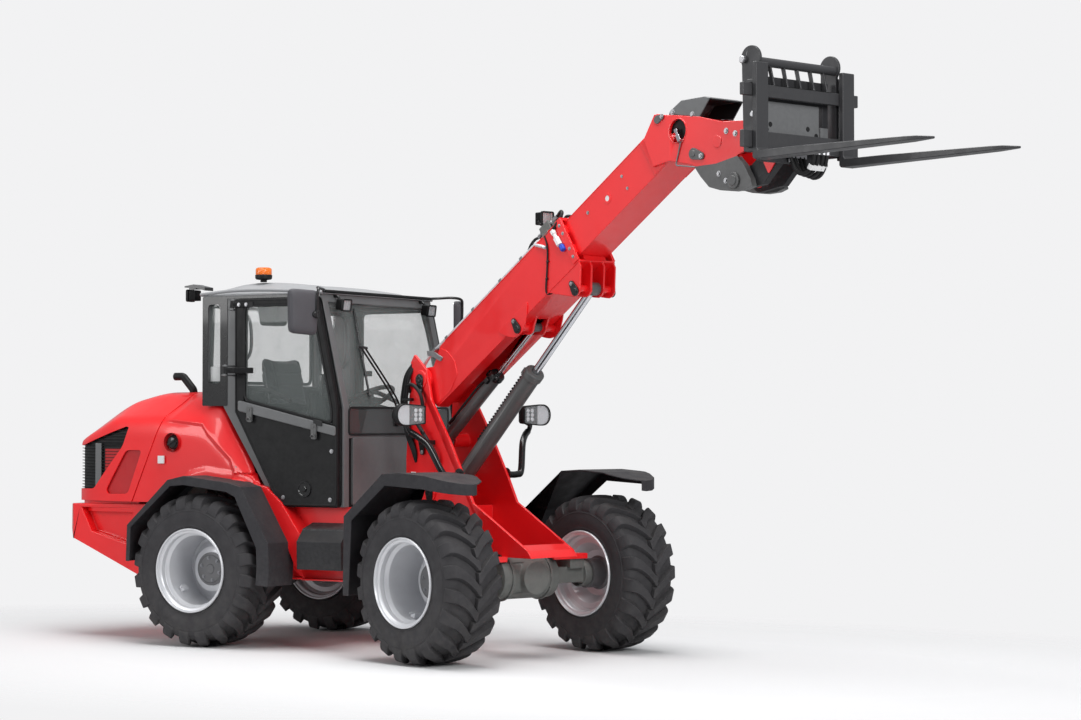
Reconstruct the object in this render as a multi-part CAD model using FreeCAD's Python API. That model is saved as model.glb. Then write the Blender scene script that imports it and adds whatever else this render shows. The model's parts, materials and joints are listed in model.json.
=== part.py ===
"""Telescopic wheel loader: an articulated wheel loader with a two-stage boom and pallet forks.

Millimetres.  While it is being modelled the machine's frame is: +X forward along the rear
frame, +Y to the left, +Z up, with zero on the ground under the articulation pivot.  Each piece
is written about the middle of the whole machine's footprint, see place_on_origin().
"""
import math
import os

import FreeCAD
import Part
from FreeCAD import Vector

# ---------------------------------------------------------------- driving dimensions
# Stance
HALF_TRACK = 738.0          # wheel centre to the machine's middle
REAR_AXLE_X = -1020.0
FRONT_AXLE_X = 1251.0       # measured in the front frame
STEER_REST = -18.35         # degrees, how far the front frame is turned at rest
# Wheels
TYRE_RADIUS = 508.0
TYRE_WIDTH = 420.0
RIM_SEAT_RADIUS = 254.0
RIM_FLANGE_RADIUS = 279.0
RIM_WIDTH = TYRE_WIDTH + 4.0      # the flanges stand a little outside the beads
HUB_RADIUS = 110.0
# Running fits
PIN_CLEARANCE = 0.05        # radial, between a pin or rod and its bore
SLIDE_CLEARANCE = 0.3       # between a wear pad and the wall that it runs on
GAP = 6.0                   # between pieces that move past each other
# Body
PLATE = 12.0                # boom and tower side plates are near this
HOOD_WALL = 10.0
BODY_HALF_WIDTH = 690.0
FENDER_HALF_WIDTH = 940.0
FENDER_INNER = 666.0
# Cab
CAB_HALF_WIDTH = 660.0      # outside of the pillars
CAB_FRONT_X = 22.0
CAB_REAR_X = -1130.0
CAB_FLOOR_Z = 935.0
DOOR_THICKNESS = 35.0
GLASS = 6.0
BELT_Z = 1590.0             # where the windscreen starts to lean back
ROOF_FRONT_X = -161.0
ROOF_EDGE_Z = 2340.0
# Boom, in its own frame: u along the boom from its pivot, v square to it, upwards
BOOM_ANGLE = 33.0
BOOM_PIVOT = (500.0, 1770.0)      # x, z in the front frame
BOOM_HALF_WIDTH = 150.0
BOOM_TOP = 105.0
BOOM_BOTTOM = -215.0
BOOM_FRONT = 1640.0
INNER_HALF_WIDTH = 120.0
INNER_TOP = 82.0
INNER_BOTTOM = -165.0
INNER_REAR = 1060.0
INNER_FRONT = 2700.0
# Cylinders: x, z of the lower pin in the front frame, u, v of the upper one in the boom's
LIFT_FOOT = (600.0, 1035.0)
LIFT_EYE = (1510.0, -330.0)
LIFT_BARREL = 1123.0
LIFT_RADIUS = 57.0
LIFT_ROD_RADIUS = 26.0
LEVEL_FOOT = (520.0, 1370.0)
LEVEL_EYE = (940.0, -226.0)
LEVEL_BARREL = 683.0
LEVEL_RADIUS = 42.0
LEVEL_ROD_RADIUS = 16.0
LEVEL_SLOT_HALF = 53.0      # half width of the slot that the levelling barrel swings into
# Tilt: pin of the hitch on the boom's nose, x, z in the front frame at rest
TILT_PIVOT = (3310.0, 2880.0)
TILT_CYLINDER_FOOT = (2800.0, 3165.0)
TILT_CYLINDER_EYE = (3513.0, 3170.0)
TILT_BARREL = 500.0
TILT_RADIUS = 42.0
TILT_ROD_RADIUS = 20.0
# Length of rod behind each eye
LIFT_ROD_IN = 1090.0
LEVEL_ROD_IN = 660.0
TILT_ROD_IN = 518.0
# Forks
FORK_HALF_SPACING = 359.0
FORK_WIDTH = 100.0
FORK_THICKNESS = 45.0
FORK_LENGTH = 1200.0
FORK_TOP_Z = 3004.0
FORK_HEEL_X = 3733.0
# Tower on the front frame
TOWER_HALF_WIDTH = 195.0
TOWER_PLATE = 20.0

# ---------------------------------------------------------------- drawing helpers
AXES = {
    "xz": (Vector(1, 0, 0), Vector(0, 0, 1), Vector(0, 1, 0)),
    "xy": (Vector(1, 0, 0), Vector(0, 1, 0), Vector(0, 0, 1)),
    "yz": (Vector(0, 1, 0), Vector(0, 0, 1), Vector(1, 0, 0)),
}
X, Y, Z = Vector(1, 0, 0), Vector(0, 1, 0), Vector(0, 0, 1)


def prism(plane, points, low, high):
    """Solid with the given outline in a plane, from low to high along that plane's normal."""
    first, second, normal = AXES[plane]
    corners = [first * a + second * b + normal * low for a, b in points]
    outline = Part.makePolygon(corners + corners[:1])
    return Part.Face(outline).extrude(normal * (high - low))


def block(x, y, z):
    """Box between the low and high values of each axis."""
    size = (x[1] - x[0], y[1] - y[0], z[1] - z[0])
    return Part.makeBox(*size, Vector(x[0], y[0], z[0]))


def rod(start, end, radius):
    """Round bar from start to end."""
    line = Vector(*end) - Vector(*start)
    return Part.makeCylinder(radius, line.Length, Vector(*start), line)


def tube(start, end, outer, inner):
    return rod(start, end, outer).cut(rod(start, end, inner))


def cross_pin(x, z, half_length, radius, y=0.0):
    """Round bar along Y, centred on y."""
    return rod((x, y - half_length, z), (x, y + half_length, z), radius)


def upright(x, y, z_low, z_high, radius):
    return rod((x, y, z_low), (x, y, z_high), radius)


def turned_ring(profile, axis_y):
    """Closed (radius, offset along Y) profile turned round the Y axis."""
    corners = [Vector(r, axis_y + y, 0) for r, y in profile]
    outline = Part.makePolygon(corners + corners[:1])
    return Part.Face(outline).revolve(Vector(0, 0, 0), Y, 360)


def rounded(points, radius):
    """Wire through the points, straight runs joined by tangent arcs."""
    corners = [Vector(*p) for p in points]
    edges, start = [], corners[0]
    for before, corner, after in zip(corners, corners[1:], corners[2:]):
        back, ahead = (before - corner), (after - corner)
        turn = math.pi - back.getAngle(ahead)
        reach = min(radius * math.tan(turn / 2), 0.45 * min(back.Length, ahead.Length))
        back.normalize()
        ahead.normalize()
        first, last = corner + back * reach, corner + ahead * reach
        bow = reach / math.tan(turn / 2) * (1 / math.cos(turn / 2) - 1)
        middle = back + ahead
        middle.normalize()
        edges.append(Part.LineSegment(start, first).toShape())
        edges.append(Part.Arc(first, corner + middle * bow, last).toShape())
        start = last
    edges.append(Part.LineSegment(start, corners[-1]).toShape())
    return Part.Wire(edges)


def bent_rod(points, radius, bend):
    """Round bar or hose along a route with bends of the given radius."""
    path = rounded(points, bend)
    along = Vector(*points[1]) - Vector(*points[0])
    section = Part.Wire([Part.makeCircle(radius, Vector(*points[0]), along)])
    return path.makePipeShell([section], True, False)


def band(points, depths, plane, low, high):
    """Sheet that follows a path and lies the given depth to the right of it."""
    depths = depths if isinstance(depths, (list, tuple)) else [depths] * len(points)
    corners = [Vector(a, b, 0) for a, b in points]
    other = []
    for index, (here, depth) in enumerate(zip(corners, depths)):
        runs = [corners[j + 1] - corners[j] for j in (index - 1, index) if 0 <= j < len(corners) - 1]
        normals = [Vector(run.y, -run.x, 0).normalize() for run in runs]
        middle = (normals[0] + normals[-1]).normalize()
        other.append(here + middle * (depth / max(0.4, middle.dot(normals[0]))))
    outline = points + [(c.x, c.y) for c in reversed(other)]
    return prism(plane, outline, low, high)


def joined(shapes):
    """One solid from touching shapes."""
    shapes = list(shapes)
    whole = shapes[0].multiFuse(shapes[1:]) if len(shapes) > 1 else shapes[0]
    return whole.removeSplitter()


def left_right(shape):
    """A shape on the right side and its mirror image on the left."""
    return [shape, shape.mirror(Vector(0, 0, 0), Y)]


def moved(shape, x=0.0, y=0.0, z=0.0):
    copy = shape.copy()
    copy.translate(Vector(x, y, z))
    return copy


def spun(shape, centre, axis, degrees):
    copy = shape.copy()
    copy.rotate(Vector(*centre), axis, degrees)
    return copy


def on_front(shape):
    """Turns a piece drawn straight ahead into the front frame's rest position."""
    return spun(shape, (0, 0, 0), Z, STEER_REST)


def on_boom(shape):
    """Puts a piece drawn in the boom's u, v frame on its pivot in the front frame."""
    raised = spun(shape, (0, 0, 0), Y, -BOOM_ANGLE)
    return on_front(moved(raised, BOOM_PIVOT[0], 0, BOOM_PIVOT[1]))


def boom_point(u, v):
    """Front-frame x, z of a point given in the boom's frame."""
    angle = math.radians(BOOM_ANGLE)
    x = u * math.cos(angle) - v * math.sin(angle)
    z = u * math.sin(angle) + v * math.cos(angle)
    return BOOM_PIVOT[0] + x, BOOM_PIVOT[1] + z


def boom_uv(x, z):
    """Boom-frame u, v of a point given in the front frame."""
    angle = math.radians(BOOM_ANGLE)
    dx, dz = x - BOOM_PIVOT[0], z - BOOM_PIVOT[1]
    return dx * math.cos(angle) + dz * math.sin(angle), dz * math.cos(angle) - dx * math.sin(angle)


# ---------------------------------------------------------------- wheels and axles
SPINDLE_RADIUS = 45.0
HUB_OUTER = -18.0           # face of the hub, outwards of the wheel's centre plane
HUB_INNER = -165.0          # back of the hub
RIM_WALL = 8.0
WELL_RADIUS = 238.0
WELL_END = 130.0            # the deep well spans this far each side of the middle
DISC_BACK = -122.0          # where the disc meets the well


def tyre(side):
    """Closed tyre with a flat-crowned tread and rounded sidewalls."""
    half = TYRE_WIDTH / 2
    seat = RIM_SEAT_RADIUS + 0.1
    right = [(seat, half - 24), (seat + 30, half - 12), (seat + 90, half), (seat + 160, half - 4),
             (TYRE_RADIUS - 55, half - 14), (TYRE_RADIUS - 14, half - 34), (TYRE_RADIUS, half - 90)]
    left = [(r, -y) for r, y in reversed(right)]
    return turned_ring(right + left, side * HALF_TRACK)


def rim(side):
    """Deep-dished rim with its disc and hub; the dish opens outwards."""
    half, seat = RIM_WIDTH / 2, RIM_SEAT_RADIUS
    outer = [(RIM_FLANGE_RADIUS, half), (RIM_FLANGE_RADIUS, half - RIM_WALL), (seat, half - 20),
             (seat, WELL_END + 25), (WELL_RADIUS, WELL_END)]
    inner = [(WELL_RADIUS - RIM_WALL, WELL_END - 4), (seat - RIM_WALL, WELL_END + 21),
             (seat - RIM_WALL, half - 16), (RIM_FLANGE_RADIUS - 14, half)]
    profile = outer + [(r, -y) for r, y in reversed(outer)]
    profile += [(r, -y) for r, y in reversed(inner)] + inner
    ring = turned_ring([(r, side * y) for r, y in profile], side * HALF_TRACK)
    bore = SPINDLE_RADIUS + PIN_CLEARANCE
    disc = [(WELL_RADIUS - 2, DISC_BACK - 12), (WELL_RADIUS - 2, DISC_BACK), (205, DISC_BACK + 6),
            (HUB_RADIUS + 40, -42), (HUB_RADIUS, -36), (HUB_RADIUS, HUB_OUTER), (0, HUB_OUTER),
            (0, HUB_OUTER - 20), (bore, HUB_OUTER - 20), (bore, HUB_INNER), (95, HUB_INNER),
            (112, -90), (HUB_RADIUS + 40, -56), (200, DISC_BACK - 8)]
    centre = turned_ring([(r, side * y) for r, y in disc], side * HALF_TRACK)
    return ring.fuse(centre)


def wheels():
    """The four wheels: node name to shape, each in place at rest."""
    found = {}
    for end, axle_x in (("front", FRONT_AXLE_X), ("rear", REAR_AXLE_X)):
        for name, side in (("left", 1), ("right", -1)):
            for piece, make in (("tyre", tyre), ("rim", rim)):
                shape = moved(make(side), axle_x, 0, TYRE_RADIUS)
                found[f"{end}_{name}_{piece}"] = on_front(shape) if end == "front" else shape
    return found


def axle(x, pad_x, pad_y, pad_top):
    """Drive axle: round centre casing, square tubes, end flanges and spindles."""
    z = TYRE_RADIUS
    inner_end = HALF_TRACK + HUB_INNER - GAP
    casing = rod((x, -230, z), (x, 230, z), 138)
    nose = rod((x - 190, 0, z), (x + 178, 0, z), 105)
    bolts = [rod((x, s * 150, z), (x, s * 170, z), 150) for s in (-1, 1)]
    tubes = block((x - 55, x + 55), (-inner_end + 40, inner_end - 40), (z - 52, z + 52))
    ends = [rod((x, s * (inner_end - 60), z), (x, s * inner_end, z), 85) for s in (-1, 1)]
    spindle_end = HALF_TRACK + HUB_OUTER - 20 - 1
    spindle = rod((x, -spindle_end, z), (x, spindle_end, z), SPINDLE_RADIUS)
    pads = [block((pad_x - 90, pad_x + 90), (s * pad_y - 60, s * pad_y + 60), (z + 40, pad_top))
            for s in (-1, 1)]
    return joined([casing, nose, tubes, spindle] + bolts + ends + pads)


# ---------------------------------------------------------------- rear frame
CHASSIS_HALF = 330.0
CHASSIS_PLATE = 28.0
CHASSIS_TOP = 820.0
CHASSIS_FOOT = 440.0
AXLE_PAD_TOP = 640.0
SIDE_PLATE_INNER = 588.0
PIVOT_RADIUS = 30.0
PIVOT_EYE = 90.0
PIVOT_LEVELS = (505.0, 745.0)       # mid heights of the two articulation eyes
PIVOT_PLATE = 30.0                  # thickness of one fork plate
PIVOT_LUG = 45.0                    # thickness of the front frame's eye


def rear_chassis():
    """Two long side plates on the axle, cross members, side sills and the pivot forks."""
    side = prism("xz", [(-1880, AXLE_PAD_TOP), (-1880, CHASSIS_TOP), (-160, CHASSIS_TOP), (-110, 700),
                        (-110, CHASSIS_FOOT), (-640, CHASSIS_FOOT), (-760, AXLE_PAD_TOP)],
                 -CHASSIS_HALF, -CHASSIS_HALF + CHASSIS_PLATE)
    plates = left_right(side)
    across = CHASSIS_HALF - 1
    members = [block((x, x + 25), (-across, across), (z, CHASSIS_TOP - 5))
               for x, z in ((-1870, 655), (-1300, 655), (-560, 460), (-150, 460))]
    floor = block((-560, -125), (-across, across), (CHASSIS_FOOT, CHASSIS_FOOT + 20))
    forks = []
    for level in PIVOT_LEVELS:
        for low in (level - PIVOT_LUG / 2 - 1 - PIVOT_PLATE, level + PIVOT_LUG / 2 + 1):
            plan = [(-150, -200), (0, -PIVOT_EYE), (0, PIVOT_EYE), (-150, 200)]
            plate = prism("xy", plan, low, low + PIVOT_PLATE)
            forks.append(plate.fuse(upright(0, 0, low, low + PIVOT_PLATE, PIVOT_EYE)))
    sills = []
    for s in (-1, 1):
        sills.append(block((-480, -110), sorted((s * SIDE_PLATE_INNER, s * across)), (450, 464)))
    frame = joined(plates + members + forks + sills + [floor])
    pins = []
    for level in PIVOT_LEVELS:
        half = PIVOT_LUG / 2 + 1 + PIVOT_PLATE
        pins.append(upright(0, 0, level - half - 8, level + half + 12, PIVOT_RADIUS))
        pins.append(upright(0, 0, level + half, level + half + 12, PIVOT_RADIUS + 18))
    return joined([frame] + pins)


WEIGHT_REAR_X = -2382.0
WEIGHT_HALF = 600.0
WEIGHT_FRONT_X = -1660.0
POCKET_DEPTH = 70.0
HITCH_RADIUS = 16.0
HITCH_Z = (772.0, 848.0)            # under side and top side of the coupling's jaw


def counterweight():
    """Cast rear weight with a sloping belly and a pocket in each side."""
    body = prism("xz", [(WEIGHT_REAR_X, 741), (WEIGHT_REAR_X + 19, 922), (WEIGHT_FRONT_X, 930),
                        (WEIGHT_FRONT_X, 430), (-1750, 445), (-2316, 683)],
                 -WEIGHT_HALF, WEIGHT_HALF)
    corner = 70.0
    for s in (-1, 1):
        wedge = prism("xy", [(WEIGHT_REAR_X - 5, s * (WEIGHT_HALF + 5)),
                             (WEIGHT_REAR_X + corner, s * (WEIGHT_HALF + 5)),
                             (WEIGHT_REAR_X - 5, s * (WEIGHT_HALF - corner))], 400, 1000)
        body = body.cut(wedge)
        low, high = sorted((s * (WEIGHT_HALF - POCKET_DEPTH), s * (WEIGHT_HALF + 5)))
        body = body.cut(prism("xz", [(-2240, 898), (-1770, 900), (-1845, 655), (-2150, 735)], low, high))
    saddle = block((-1880, WEIGHT_FRONT_X + 5), (-CHASSIS_HALF, CHASSIS_HALF), (600, 1000))
    return body.cut(saddle)


def tow_coupling():
    """Rear towing jaw: two plates with a pin hole through both."""
    back, reach = WEIGHT_REAR_X - 14, 60
    low, high = HITCH_Z
    base = block((back, WEIGHT_REAR_X + 25), (-80, 80), (745, 885))
    plates = [prism("xy", [(back + 2, -75), (back + 2, 75), (back - reach, 45), (back - reach, -45)], z, z + 18)
              for z in (low - 18, high)]
    ends = [upright(back - reach, 0, z, z + 18, 45) for z in (low - 18, high)]
    jaw = joined([base] + plates + ends)
    return jaw.cut(upright(back - reach, 0, low - 60, high + 80, HITCH_RADIUS)).cut(counterweight())


def engine_block():
    """Plain block at the engine's place."""
    return block((-2080, -1420), (-240, 240), (CHASSIS_TOP - 150, 1330)).cut(
        block((-1881, -1835), (-400, 400), (600, CHASSIS_TOP))).cut(counterweight())


# ---------------------------------------------------------------- engine cover
HOOD_FLOOR = 945.0
HOOD_GAP = 5.0
COWL_HALF = 440.0           # the lid's half width ahead of the side seams
HOOD_HINGE = (-1215.0, 1722.0)
HOOD_FRONT_X = -1232.0
SEAM = [(-1746, HOOD_FLOOR), (-1495, 1464), (-1465, 1539), (-1366, 1655)]
# x, half width at the shoulder, shoulder height, half width of the crown, crown height
HOOD_STATIONS = [
    (-2345, 470, 1345, 380, 1352),
    (-2290, 540, 1362, 400, 1400),
    (-2150, 600, 1405, 405, 1504),
    (-1860, 650, 1500, 405, 1650),
    (-1570, 675, 1500, 430, 1695),
    (-1366, 685, 1478, 480, 1695),
    (-1140, 690, 1440, 580, 1665),
    (-1000, 690, 1330, 610, 1632),
    (-880, 690, 1210, 625, 1440),
    (-640, 690, 1085, 630, 1092),
]


def hood_body(inset):
    """Solid inside of the engine cover's skin, inset from its outer faces."""
    wires = []
    for index, (x, side, shoulder, crown, top) in enumerate(HOOD_STATIONS):
        at = x + inset if index == 0 else x
        half = [(side - inset, HOOD_FLOOR - (30 if inset else 0)), (side - inset, shoulder - inset),
                (crown - inset * 0.4, top - inset)]
        ring = half + [(-y, z) for y, z in reversed(half)]
        corners = [Vector(at, y, z) for y, z in ring]
        wires.append(Part.makePolygon(corners + corners[:1]))
    return Part.makeLoft(wires, True, True)


def hood_skin():
    skin = hood_body(0).cut(hood_body(HOOD_WALL))
    return skin.cut(block((-670, -600), (-800, 800), (900, 1800)))


def behind_seam(shift):
    """Everything behind the side seam, moved forward by shift, and the crown up to the cowl."""
    points = [(x + shift, z) for x, z in SEAM]
    rear = prism("xz", points + [(points[-1][0], 1900), (-2600, 1900), (-2600, 900), (points[0][0], 900)],
                 -900, 900)
    crown = block((-2600, HOOD_FRONT_X + shift), (-COWL_HALF - shift, COWL_HALF + shift), (1560, 1900))
    return rear.fuse(crown)


GRILLE_OUTLINE = [(-2400, 1325), (-2250, 1330), (-1775, 1470), (-1775, 1450), (-1832, 1325),
                  (-2118, 1037), (-2400, 1022)]


def hood():
    """Tilting rear cover with the grille opening round its rear corners and hinge knuckles."""
    lid = hood_skin().common(behind_seam(0)).cut(prism("xz", GRILLE_OUTLINE, -900, 900))
    x, z = HOOD_HINGE
    knuckles = []
    for y in (-300, 300):
        ear = prism("xz", [(x - 12, z - 6), (x - 12, z + 10), (x - 130, z - 4), (x - 130, z - 30)],
                    y - 25, y + 25)
        knuckles.append(ear.fuse(cross_pin(x, z, 25, 15, y)))
    lid = joined([lid] + knuckles)
    return lid.cut(cross_pin(x, z, 400, 8 + PIN_CLEARANCE))


def hood_grilles():
    """Dark screens standing just inside the openings of the tilting cover."""
    inside = hood_body(HOOD_WALL).cut(hood_body(HOOD_WALL + 9))
    wide = [(-2500, 1339), (-2255, 1343), (-1760, 1486), (-1756, 1450), (-1820, 1316),
            (-2108, 1024), (-2500, 1006)]
    return inside.common(prism("xz", wide, -900, 900)).cut(hood())


PANEL_FRONT = [(-1000, 1632), (-640, 1085)]      # the panels' sloping front edge, top and bottom
TUB_HALF = 580.0                                 # the cab's seat tub between the panels


def side_panels():
    """Fixed skins between the tilting cover, the fenders and the cab."""
    skin = hood_skin().cut(behind_seam(HOOD_GAP))
    below = [(x, z + 0.3) for x, z in REAR_FENDER_PATH]
    arch = prism("xz", below + [(-300, 500)], -900, 900)
    (top_x, top_z), (low_x, low_z) = PANEL_FRONT
    ahead = prism("xz", [(top_x, top_z), (top_x - 20, 1900), (-500, 1900), (-500, 900),
                         (low_x + 40, 900), (low_x, low_z)], -900, 900)
    cowl = block((-1136, -600), (-TUB_HALF - 10, TUB_HALF + 10), (900, 1900))
    skin = skin.cut(arch).cut(ahead).cut(cowl)
    x, z = HOOD_HINGE
    bar = cross_pin(x, z, 360, 8)
    posts = [block((x - 8, x + 8), (s * 350 - 10, s * 350 + 10), (z - 60, z)) for s in (-1, 1)]
    rail = block((x - 12, -1138), (-COWL_HALF + 2, COWL_HALF - 2), (z - 72, z - 52))
    return joined([skin, rail, bar] + posts)


# ---------------------------------------------------------------- rear fenders
REAR_FENDER_PATH = [(-1565, 557), (-1555, 800), (-1213, 1106), (-1079, 1134), (-714, 1094),
                    (-606, 1066), (-383, 702), (-374, 540), (-385, 420)]
REAR_LIP = [30, 32, 45, 60, 62, 75, 98, 100, 98]
FENDER_SHEET = 8.0


def rear_fenders():
    """Both rear fenders: bent sheet, outer lip, inner wall and a stay to the frame."""
    sheet = band(REAR_FENDER_PATH, FENDER_SHEET, "xz", -FENDER_HALF_WIDTH, -FENDER_INNER)
    lip = band(REAR_FENDER_PATH, REAR_LIP, "xz", -FENDER_HALF_WIDTH, -FENDER_HALF_WIDTH + FENDER_SHEET)
    inner = band(REAR_FENDER_PATH[1:8], 48, "xz", -FENDER_INNER - FENDER_SHEET, -FENDER_INNER)
    stay = block((-1110, -1050), (-FENDER_INNER - 2, -CHASSIS_HALF + CHASSIS_PLATE), (1092, 1120))
    post = block((-1110, -1050), (-CHASSIS_HALF, -CHASSIS_HALF + CHASSIS_PLATE), (CHASSIS_TOP, 1094))
    one = joined([sheet, lip, inner, stay, post])
    return left_right(one)


# ---------------------------------------------------------------- cab
FRAME_INNER = 600.0         # inside of the pillars
CAB_SIDE = [(CAB_FRONT_X, CAB_FLOOR_Z), (CAB_FRONT_X, BELT_Z), (ROOF_FRONT_X, ROOF_EDGE_Z),
            (CAB_REAR_X, ROOF_EDGE_Z), (CAB_REAR_X, 1676), (-1040, 1665), (-990, 1640),
            (-530, CAB_FLOOR_Z)]
DOOR_HOLE = [(-35, 975), (-35, 1585), (-198, 2275), (-800, 2275), (-800, 1565), (-452, 975)]
SIDE_WINDOW = [(-1090, 1745), (-1090, 2285), (-930, 2285), (-930, 1745)]
PILLAR = 52.0
HEADER_Z = 2282.0
DASH_TOP = 1575.0
DASH_LOW = 1385.0
HINGE_X = -855.0
HINGE_POINTS = ((1835.0, 780.0), (2275.0, 705.0))      # height and distance out of the two hinges
HINGE_PIN = 8.0
HINGE_KNUCKLE = 14.0
HINGE_HALF = 24.0


def screen_x(z):
    """Front face of the cab at a height above the belt."""
    share = (z - BELT_Z) / (ROOF_EDGE_Z - BELT_Z)
    return CAB_FRONT_X + share * (ROOF_FRONT_X - CAB_FRONT_X)


def hinge_line(side):
    """Lower and upper points of a door's tilted hinge axis."""
    return [Vector(HINGE_X, side * out, z) for z, out in HINGE_POINTS]


def along_hinge(side, end, start, stop):
    """Points on the hinge axis at the given distances from one of its two hinges."""
    low, high = hinge_line(side)
    along = (high - low).normalize()
    centre = (low, high)[end]
    return centre + along * start, centre + along * stop


def cab_frame():
    """Pillars, rails, sills and dash band of the cab with the doors' hinge lugs."""
    side = prism("xz", CAB_SIDE, -CAB_HALF_WIDTH, -FRAME_INNER)
    side = side.cut(prism("xz", DOOR_HOLE, -900, 0)).cut(prism("xz", SIDE_WINDOW, -900, 0))
    inner = FRAME_INNER + 1
    header = prism("xz", [(screen_x(HEADER_Z), HEADER_Z), (ROOF_FRONT_X, ROOF_EDGE_Z),
                          (ROOF_FRONT_X - 60, ROOF_EDGE_Z), (screen_x(HEADER_Z) - 60, HEADER_Z)],
                   -inner, inner)
    dash = prism("xz", [(CAB_FRONT_X, DASH_LOW), (CAB_FRONT_X, DASH_TOP), (CAB_FRONT_X - 90, DASH_TOP),
                        (CAB_FRONT_X - 30, DASH_LOW)], -inner, inner)
    rear_top = block((CAB_REAR_X, CAB_REAR_X + 50), (-inner, inner), (2290, ROOF_EDGE_Z))
    rear_low = block((CAB_REAR_X, CAB_REAR_X + 30), (-inner, inner), (1676, 1745))
    lugs = []
    for s in (-1, 1):
        for end in (0, 1):
            for start, stop in ((-HINGE_HALF - 14, -HINGE_HALF - 1), (HINGE_HALF + 1, HINGE_HALF + 14)):
                first, last = along_hinge(s, end, start, stop)
                lugs.append(rod(first, last, HINGE_KNUCKLE))
                out, z = abs(first.y), (first.z + last.z) / 2
                lugs.append(block((HINGE_X - 30, HINGE_X - 4), sorted((s * 655, s * out)), (z - 5, z + 5)))
            first, last = along_hinge(s, end, -HINGE_HALF - 14, HINGE_HALF + 14)
            lugs.append(rod(first, last, HINGE_PIN))
    return joined(left_right(side) + [header, dash, rear_top, rear_low] + lugs)


def cab_base():
    """Floor pan, front wall and the raised tub under and behind the seat."""
    half = FRAME_INNER
    floor = block((-560, CAB_FRONT_X - 12), (-half, half), (CAB_FLOOR_Z, CAB_FLOOR_Z + 20))
    front = block((CAB_FRONT_X - 24, CAB_FRONT_X - 12), (-half, half), (CAB_FLOOR_Z, DASH_LOW))
    riser = block((-572, -560), (-TUB_HALF, TUB_HALF), (CAB_FLOOR_Z, 1132))
    deck = block((-1124, -560), (-TUB_HALF, TUB_HALF), (1132, 1144))
    back = block((-1124, -1112), (-TUB_HALF, TUB_HALF), (1132, 1676))
    cheek = prism("xz", [(-1124, 1132), (-1124, 1676), (-1050, 1664), (-980, 1640), (-654, 1132)],
                  -TUB_HALF, -TUB_HALF + 10)
    ledge = prism("xz", [(-990, 1640), (-972, 1640), (-512, 936), (-530, 936)], -FRAME_INNER, -TUB_HALF + 5)
    across = CHASSIS_HALF
    legs = [block((x, x + 60), (-across, across), (CHASSIS_TOP, CAB_FLOOR_Z + 1)) for x in (-520, -220)]
    return joined([floor, front, riser, deck, back] + left_right(cheek) + left_right(ledge) + legs)


def roof():
    """Crowned roof with a drip edge."""
    profile = [(-1145, ROOF_EDGE_Z), (-1145, 2376), (-1118, 2400), (-860, 2441), (-500, 2414),
               (-150, 2366), (-150, ROOF_EDGE_Z)]
    shell = prism("xz", profile, -666, 666)
    for s in (-1, 1):
        wedge = prism("yz", [(s * 668, 2372), (s * 668, 2500), (s * 420, 2500), (s * 560, 2430)], -1200, 0)
        shell = shell.cut(wedge)
    return shell


def windscreen():
    low_z, high_z = DASH_TOP, HEADER_Z
    x_low, x_high = screen_x(BELT_Z), screen_x(HEADER_Z)
    outline = [(x_low - 18, low_z), (x_low - 18, BELT_Z), (x_high - 18, high_z),
               (x_high - 18 - GLASS, high_z), (x_low - 18 - GLASS, BELT_Z), (x_low - 18 - GLASS, low_z)]
    return prism("xz", outline, -FRAME_INNER, FRAME_INNER)


def rear_window():
    return block((CAB_REAR_X + 12, CAB_REAR_X + 12 + GLASS), (-FRAME_INNER, FRAME_INNER), (1745, 2290))


def side_windows():
    xs, zs = [p[0] for p in SIDE_WINDOW], [p[1] for p in SIDE_WINDOW]
    return left_right(block((min(xs), max(xs)), (-640, -640 + GLASS), (min(zs), max(zs))))


DOOR_OUTLINE = [(-2, 941), (-2, 1590), (-167, 2312), (-835, 2312), (-835, 1560), (-472, 941)]
DOOR_GLASS = [(-762, 1635), (-42, 1475), (-42, 1575), (-200, 2272), (-762, 2272)]
DOOR_OUT = CAB_HALF_WIDTH + 5.0 + DOOR_THICKNESS
ARM_LEVELS = ((1800.0, 1870.0), (2240.0, 2310.0))


def door_body(side):
    """Door leaf: window surround, lower panel and the two arms that reach to its hinges."""
    low, high = sorted((side * (DOOR_OUT - DOOR_THICKNESS), side * DOOR_OUT))
    leaf = prism("xz", DOOR_OUTLINE, low, high)
    leaf = leaf.cut(prism("xz", DOOR_GLASS, low - 1, high + 1))
    recess = prism("xz", [(-38, 980), (-38, 1400), (-745, 1560), (-790, 1500), (-470, 980)],
                   *sorted((side * (DOOR_OUT - 24), side * (DOOR_OUT - DOOR_THICKNESS - 1))))
    leaf = leaf.cut(recess)
    arms = []
    for end, (low_z, high_z) in enumerate(ARM_LEVELS):
        first, last = along_hinge(side, end, -HINGE_HALF, HINGE_HALF)
        out = abs(first.y + last.y) / 2
        arms.append(rod(first, last, HINGE_KNUCKLE))
        middle = (low_z + high_z) / 2
        reach = [(HINGE_X, side * (out - 7)), (HINGE_X, side * (out + 7)),
                 (-780, side * max(out, DOOR_OUT + 10)), (-680, side * (DOOR_OUT + 8)),
                 (-680, side * (DOOR_OUT - 1)), (-790, side * (DOOR_OUT - 1))]
        arms.append(prism("xy", reach, middle - 19, middle + 19))
    return leaf, arms


def door(side):
    leaf, arms = door_body(side)
    whole = joined([leaf] + arms)
    low, high = along_hinge(side, 0, -200, 0)[0], along_hinge(side, 1, 0, 200)[1]
    return whole.cut(rod(low, high, HINGE_PIN + PIN_CLEARANCE))


def door_glass(side):
    low, high = sorted((side * (DOOR_OUT - 20), side * (DOOR_OUT - 20 + GLASS)))
    return prism("xz", DOOR_GLASS, low, high)


SIDE_PLATE = [(-450, 535), (-470, 760), (-560, 935), (40, 935), (40, 450), (-330, 450)]


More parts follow.
